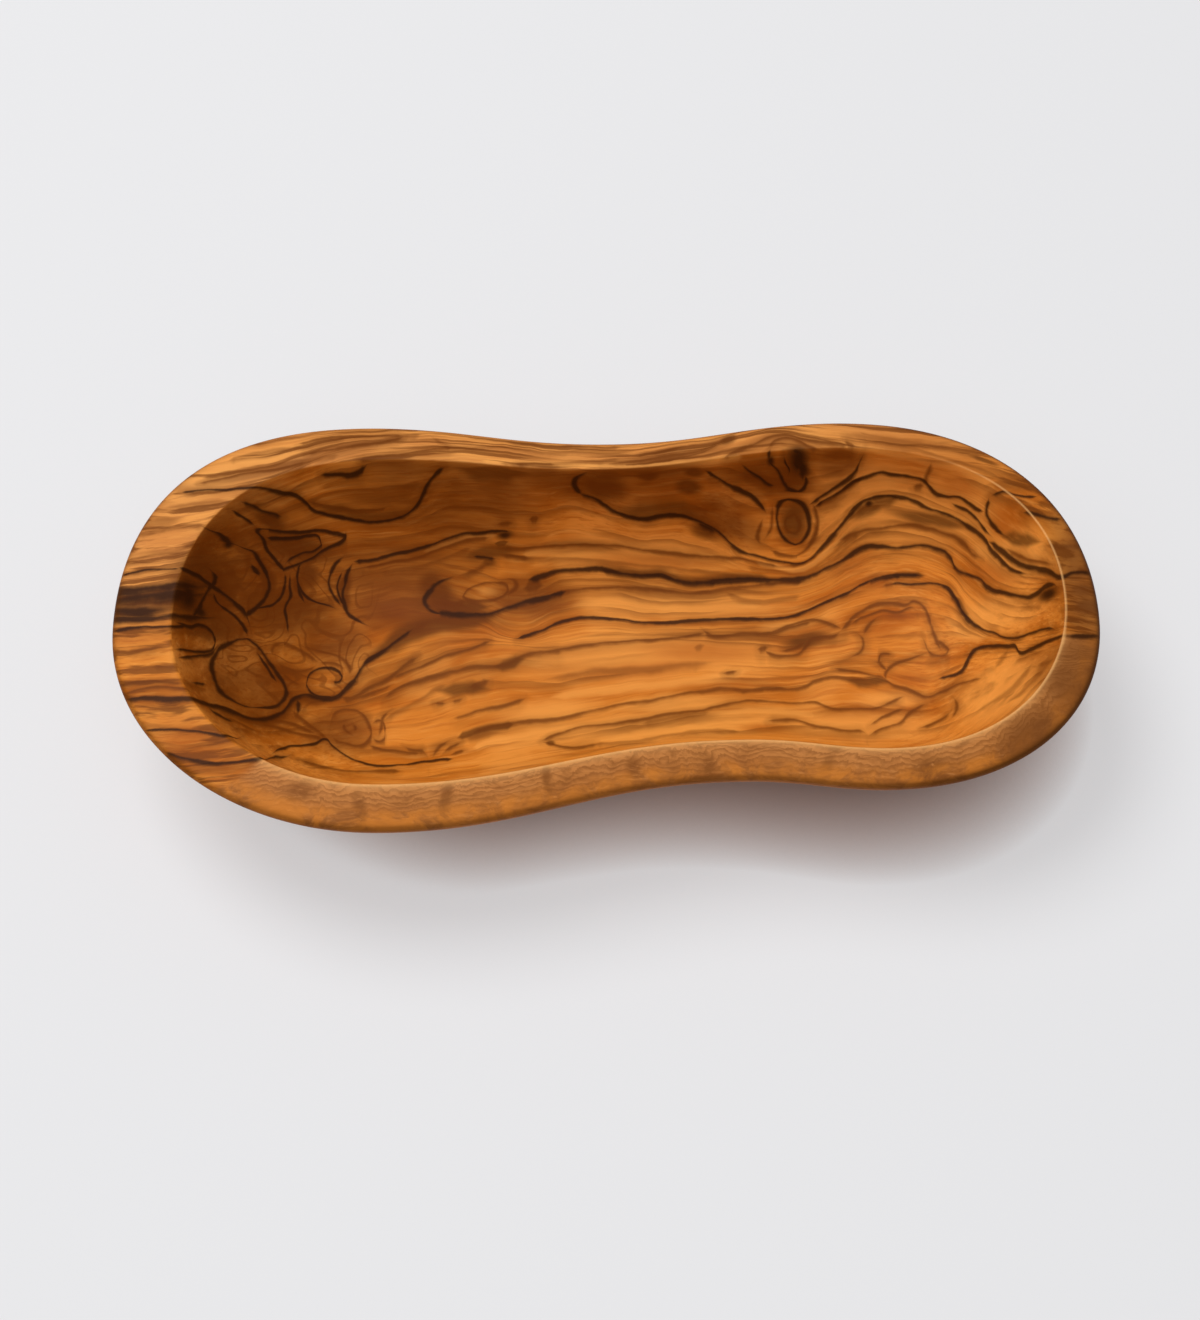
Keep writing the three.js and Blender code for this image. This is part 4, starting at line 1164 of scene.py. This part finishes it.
def sapwood_colour(wood):
    """Sapwood with ripples, wavy lines and darker bars, gold flecks towards its outer edge, paler towards
    the arris partly as a painted highlight, and a painted highlight on the arris.
    """
    tree, z = wood.tree, wood.z
    # Paler towards the arris: sapwood, and partly a painted highlight.
    colour = tint(tree, ease(tree, z, *SAPWOOD_FALL), SAPWOOD_LIGHT, SAPWOOD)
    drawn_out = scaled(tree, wood.place, (1.5, 5, 5))
    ripple = noise(tree, drawn_out, detail=5.0, roughness=0.7, distortion=1.6)
    colour = stain(tree, colour, SAPWOOD_SHADE, ease(tree, ripple, 0.5, 0.72), part=0.6)
    colour = stain(tree, colour, SAPWOOD_LIGHT, ease(tree, ripple, 0.5, 0.3), part=0.6)
    cloud = noise(tree, wood.place, scale=0.9, detail=4.0, roughness=0.6, distortion=1.2)
    line = calc(tree, "FRACT", calc(tree, "MULTIPLY_ADD", cloud, 5.0, times(tree, wood.growth, 8.0)))
    line = times(tree, ease(tree, line, 0.2, 0.9), ease(tree, line, 1.0, 0.9))
    colour = stain(tree, colour, SAPWOOD_SHADE, line, part=0.55)
    colour = stain(tree, colour, SAPWOOD_SHADE, ease(tree, cloud, 0.5, 0.75), part=0.35)
    bars = times(tree, wood.veins["Bars"], ease(tree, ripple, 0.25, 0.5))
    colour = stain(tree, colour, SAPWOOD_SHADE, bars, part=0.8)
    flecks = times(tree, ease(tree, z, *FLECK_START), ease(tree, cloud, 0.62, 0.35))
    colour = stain(tree, colour, GOLD, flecks, part=0.6)
    # Painted highlight on the arris.
    return stain(tree, colour, PAINTED_HIGHLIGHT, ease(tree, z, *ARRIS_LIGHT), part=0.3)


def heartwood_shade_and_rims(wood, colour):
    """Sapwood on the front rim, darker wood in the hollow and at the right end of the rim, partly painted
    shade on the left and back inner walls, streaks on the other rim, and dark veins.
    """
    tree, veins, on_rim = wood.tree, wood.veins, wood.on_rim
    heart_rim = times(tree, calc(tree, "SUBTRACT", 1.0, veins["Sapwood"]), on_rim)
    rim_lines = streaks(wood, along=0.16, across=6.5, detail=4.0)
    rim_lines = times(tree, ease(tree, rim_lines, 0.48, 0.6), heart_rim)
    sapwood = sapwood_colour(wood)
    colour = stain(tree, colour, sapwood, times(tree, veins["Sapwood"], on_rim), part=0.9)
    hollow = calc(tree, "MAXIMUM", calc(tree, "SUBTRACT", 1.0, on_rim), ease(tree, wood.x, 9.0, 10.4))
    mottle = ease(tree, streaks(wood, along=0.4, across=3.0, detail=3.0), 0.48, 0.7)
    hollow = times(tree, hollow, calc(tree, "MULTIPLY_ADD", mottle, -0.2, 0.8))
    # Darker wood, with painted shade on the inner walls that face away from the light.
    heartwood_and_shade = times(tree, veins["Heartwood_and_shade"], hollow)
    colour = tint(tree, heartwood_and_shade, colour, tint(tree, on_rim, HEARTWOOD_AND_SHADE, SAPWOOD_SHADE))
    colour = stain(tree, colour, UMBER, rim_lines, part=0.76)
    return stain(tree, colour, INK, veins["Dark"], part=0.92)


def edge_highlight_and_shade(wood, colour):
    """A painted highlight along the lit side of the arris, and a dark line of painted shade along the rim's
    outer edge.
    """
    tree, x = wood.tree, wood.x
    # Painted highlight on the arris, on the side towards the light.
    arris = mark(tree, "arris")
    lit_side = ease(tree, calc(tree, "MULTIPLY_ADD", x, 0.5, times(tree, wood.y, -1)), -1.0, 2.0)
    arris_highlight = times(tree, ease(tree, arris, 0.6, 1.0), lit_side)
    colour = stain(tree, colour, PAINTED_HIGHLIGHT, arris_highlight, part=0.5)
    # Painted shade along the rim's outer edge, deeper towards the right, away from the light.
    edge = times(tree, ease(tree, wood.z, *PAINTED_EDGE_SHADE), wood.on_rim)
    edge = times(tree, edge, calc(tree, "MULTIPLY_ADD", ease(tree, x, 5.0, 10.0), 0.35, 0.5))
    return tint(tree, edge, colour, SMOKE_AND_SHADE)


def outer_side(wood, colour):
    """Broad slanting grain below the rim and on the underside."""
    tree = wood.tree
    below = mark(tree, "side")
    rise = calc(tree, "MULTIPLY_ADD", wood.y, 0.55, times(tree, wood.z, 0.85))
    bend = noise(tree, scaled(tree, wood.place, (0.25, 0.4, 0.4)))
    rise = calc(tree, "ADD", bend, rise)
    place = vector_of(tree, times(tree, wood.x, 0.06), times(tree, rise, 2.8), 0.0)
    bands = noise(tree, place, detail=5.0, roughness=0.65)
    grain = tint(tree, ease(tree, bands, 0.35, 0.6), DEEP_GOLD, GOLD)
    line = calc(tree, "ABSOLUTE", calc(tree, "SUBTRACT", bands, 0.46))
    grain = stain(tree, grain, UMBER, ease(tree, line, 0.035, 0.0), part=0.75)
    return tint(tree, ease(tree, below, 0.05, 0.95), colour, grain)


def oil_finish(wood, shader):
    """A satin sheen that follows the fibres, and fine pores."""
    tree = wood.tree
    feed(tree, shader.inputs["Roughness"], calc(tree, "MULTIPLY_ADD", wood.fibres, 0.2, 0.42))
    shader.inputs["Specular IOR Level"].default_value = OIL_SPECULAR
    pores = noise(tree, scaled(tree, wood.place, (6, 40, 40)))
    bump = tree.nodes.new("ShaderNodeBump")
    bump.inputs["Strength"].default_value = PORE_STRENGTH
    bump.inputs["Distance"].default_value = PORE_DEPTH
    feed(tree, bump.inputs["Height"], pores)
    feed(tree, shader.inputs["Normal"], bump.outputs["Normal"])


def olive_wood(surface):
    material = bpy.data.materials.new("oiled_olive_wood")
    material.use_nodes = True
    tree = material.node_tree
    shader = tree.nodes["Principled BSDF"]
    wood = read_wood(tree, surface)
    colour = ground_colour(wood)
    wood.on_rim = ease(tree, mark(tree, "rim"), 0.55, 0.95)
    colour = figure_colour(wood, colour)
    colour = heartwood_shade_and_rims(wood, colour)
    colour = edge_highlight_and_shade(wood, colour)
    feed(tree, shader.inputs["Base Color"], outer_side(wood, colour))
    oil_finish(wood, shader)
    return material


# The bowl.


def mark_faces(bm):
    """Marks the rim and the arris with 1, and the outer side by how far it lies below the rim."""
    rim = bm.verts.layers.float.new("rim")
    arris = bm.verts.layers.float.new("arris")
    side = bm.verts.layers.float.new("side")
    bm.normal_update()
    for vert in bm.verts:
        height = vert.co.z / MM
        middle = Vector((max(-SPINE * MM, min(SPINE * MM, vert.co.x)), 0, 0))
        outward = vert.normal.x * (vert.co.x - middle.x) + vert.normal.y * vert.co.y
        outside = vert.normal.z < UNDERSIDE_NORMAL or (outward > 0 and vert.normal.z < STEEP_NORMAL)
        vert[rim] = height > ARRIS_HEIGHT or (outward > 0 and height > RIM_FOOT_HEIGHT)
        vert[arris] = height > ARRIS_HEIGHT
        vert[side] = min(1, max(0, (RIM_EDGE_HEIGHT - height) / SIDE_FADE)) if outside else 0
    crease = bm.edges.layers.float.new("crease_edge")
    for edge in bm.edges:
        edge[crease] = MOUTH_CREASE * min(vert[arris] for vert in edge.verts)


def carve_bowl():
    bm = bmesh.new()
    bm.from_mesh(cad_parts["bowl"].data)
    bmesh.ops.remove_doubles(bm, verts=bm.verts, dist=WELD_REACH)
    bmesh.ops.join_triangles(
        bm,
        faces=bm.faces,
        angle_face_threshold=JOIN_BEND,
        angle_shape_threshold=JOIN_SKEW,
        topology_influence=1.0,
    )
    mark_faces(bm)
    for face in bm.faces:
        face.smooth = True
    surface = BVHTree.FromBMesh(bm)
    mesh = bpy.data.meshes.new("carved_bowl")
    bm.to_mesh(mesh)
    bm.free()
    bowl = bpy.data.objects.new("carved_bowl", mesh)
    bpy.context.scene.collection.objects.link(bowl)
    smooth = bowl.modifiers.new("smooth", "SUBSURF")
    smooth.levels = smooth.render_levels = SMOOTH_STEPS
    mesh.materials.append(olive_wood(surface))
    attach(bowl, "root")
    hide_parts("bowl")


bpy.context.scene.view_settings.view_transform = "Standard"
add_camera()
add_lights()
add_floor()
carve_bowl()
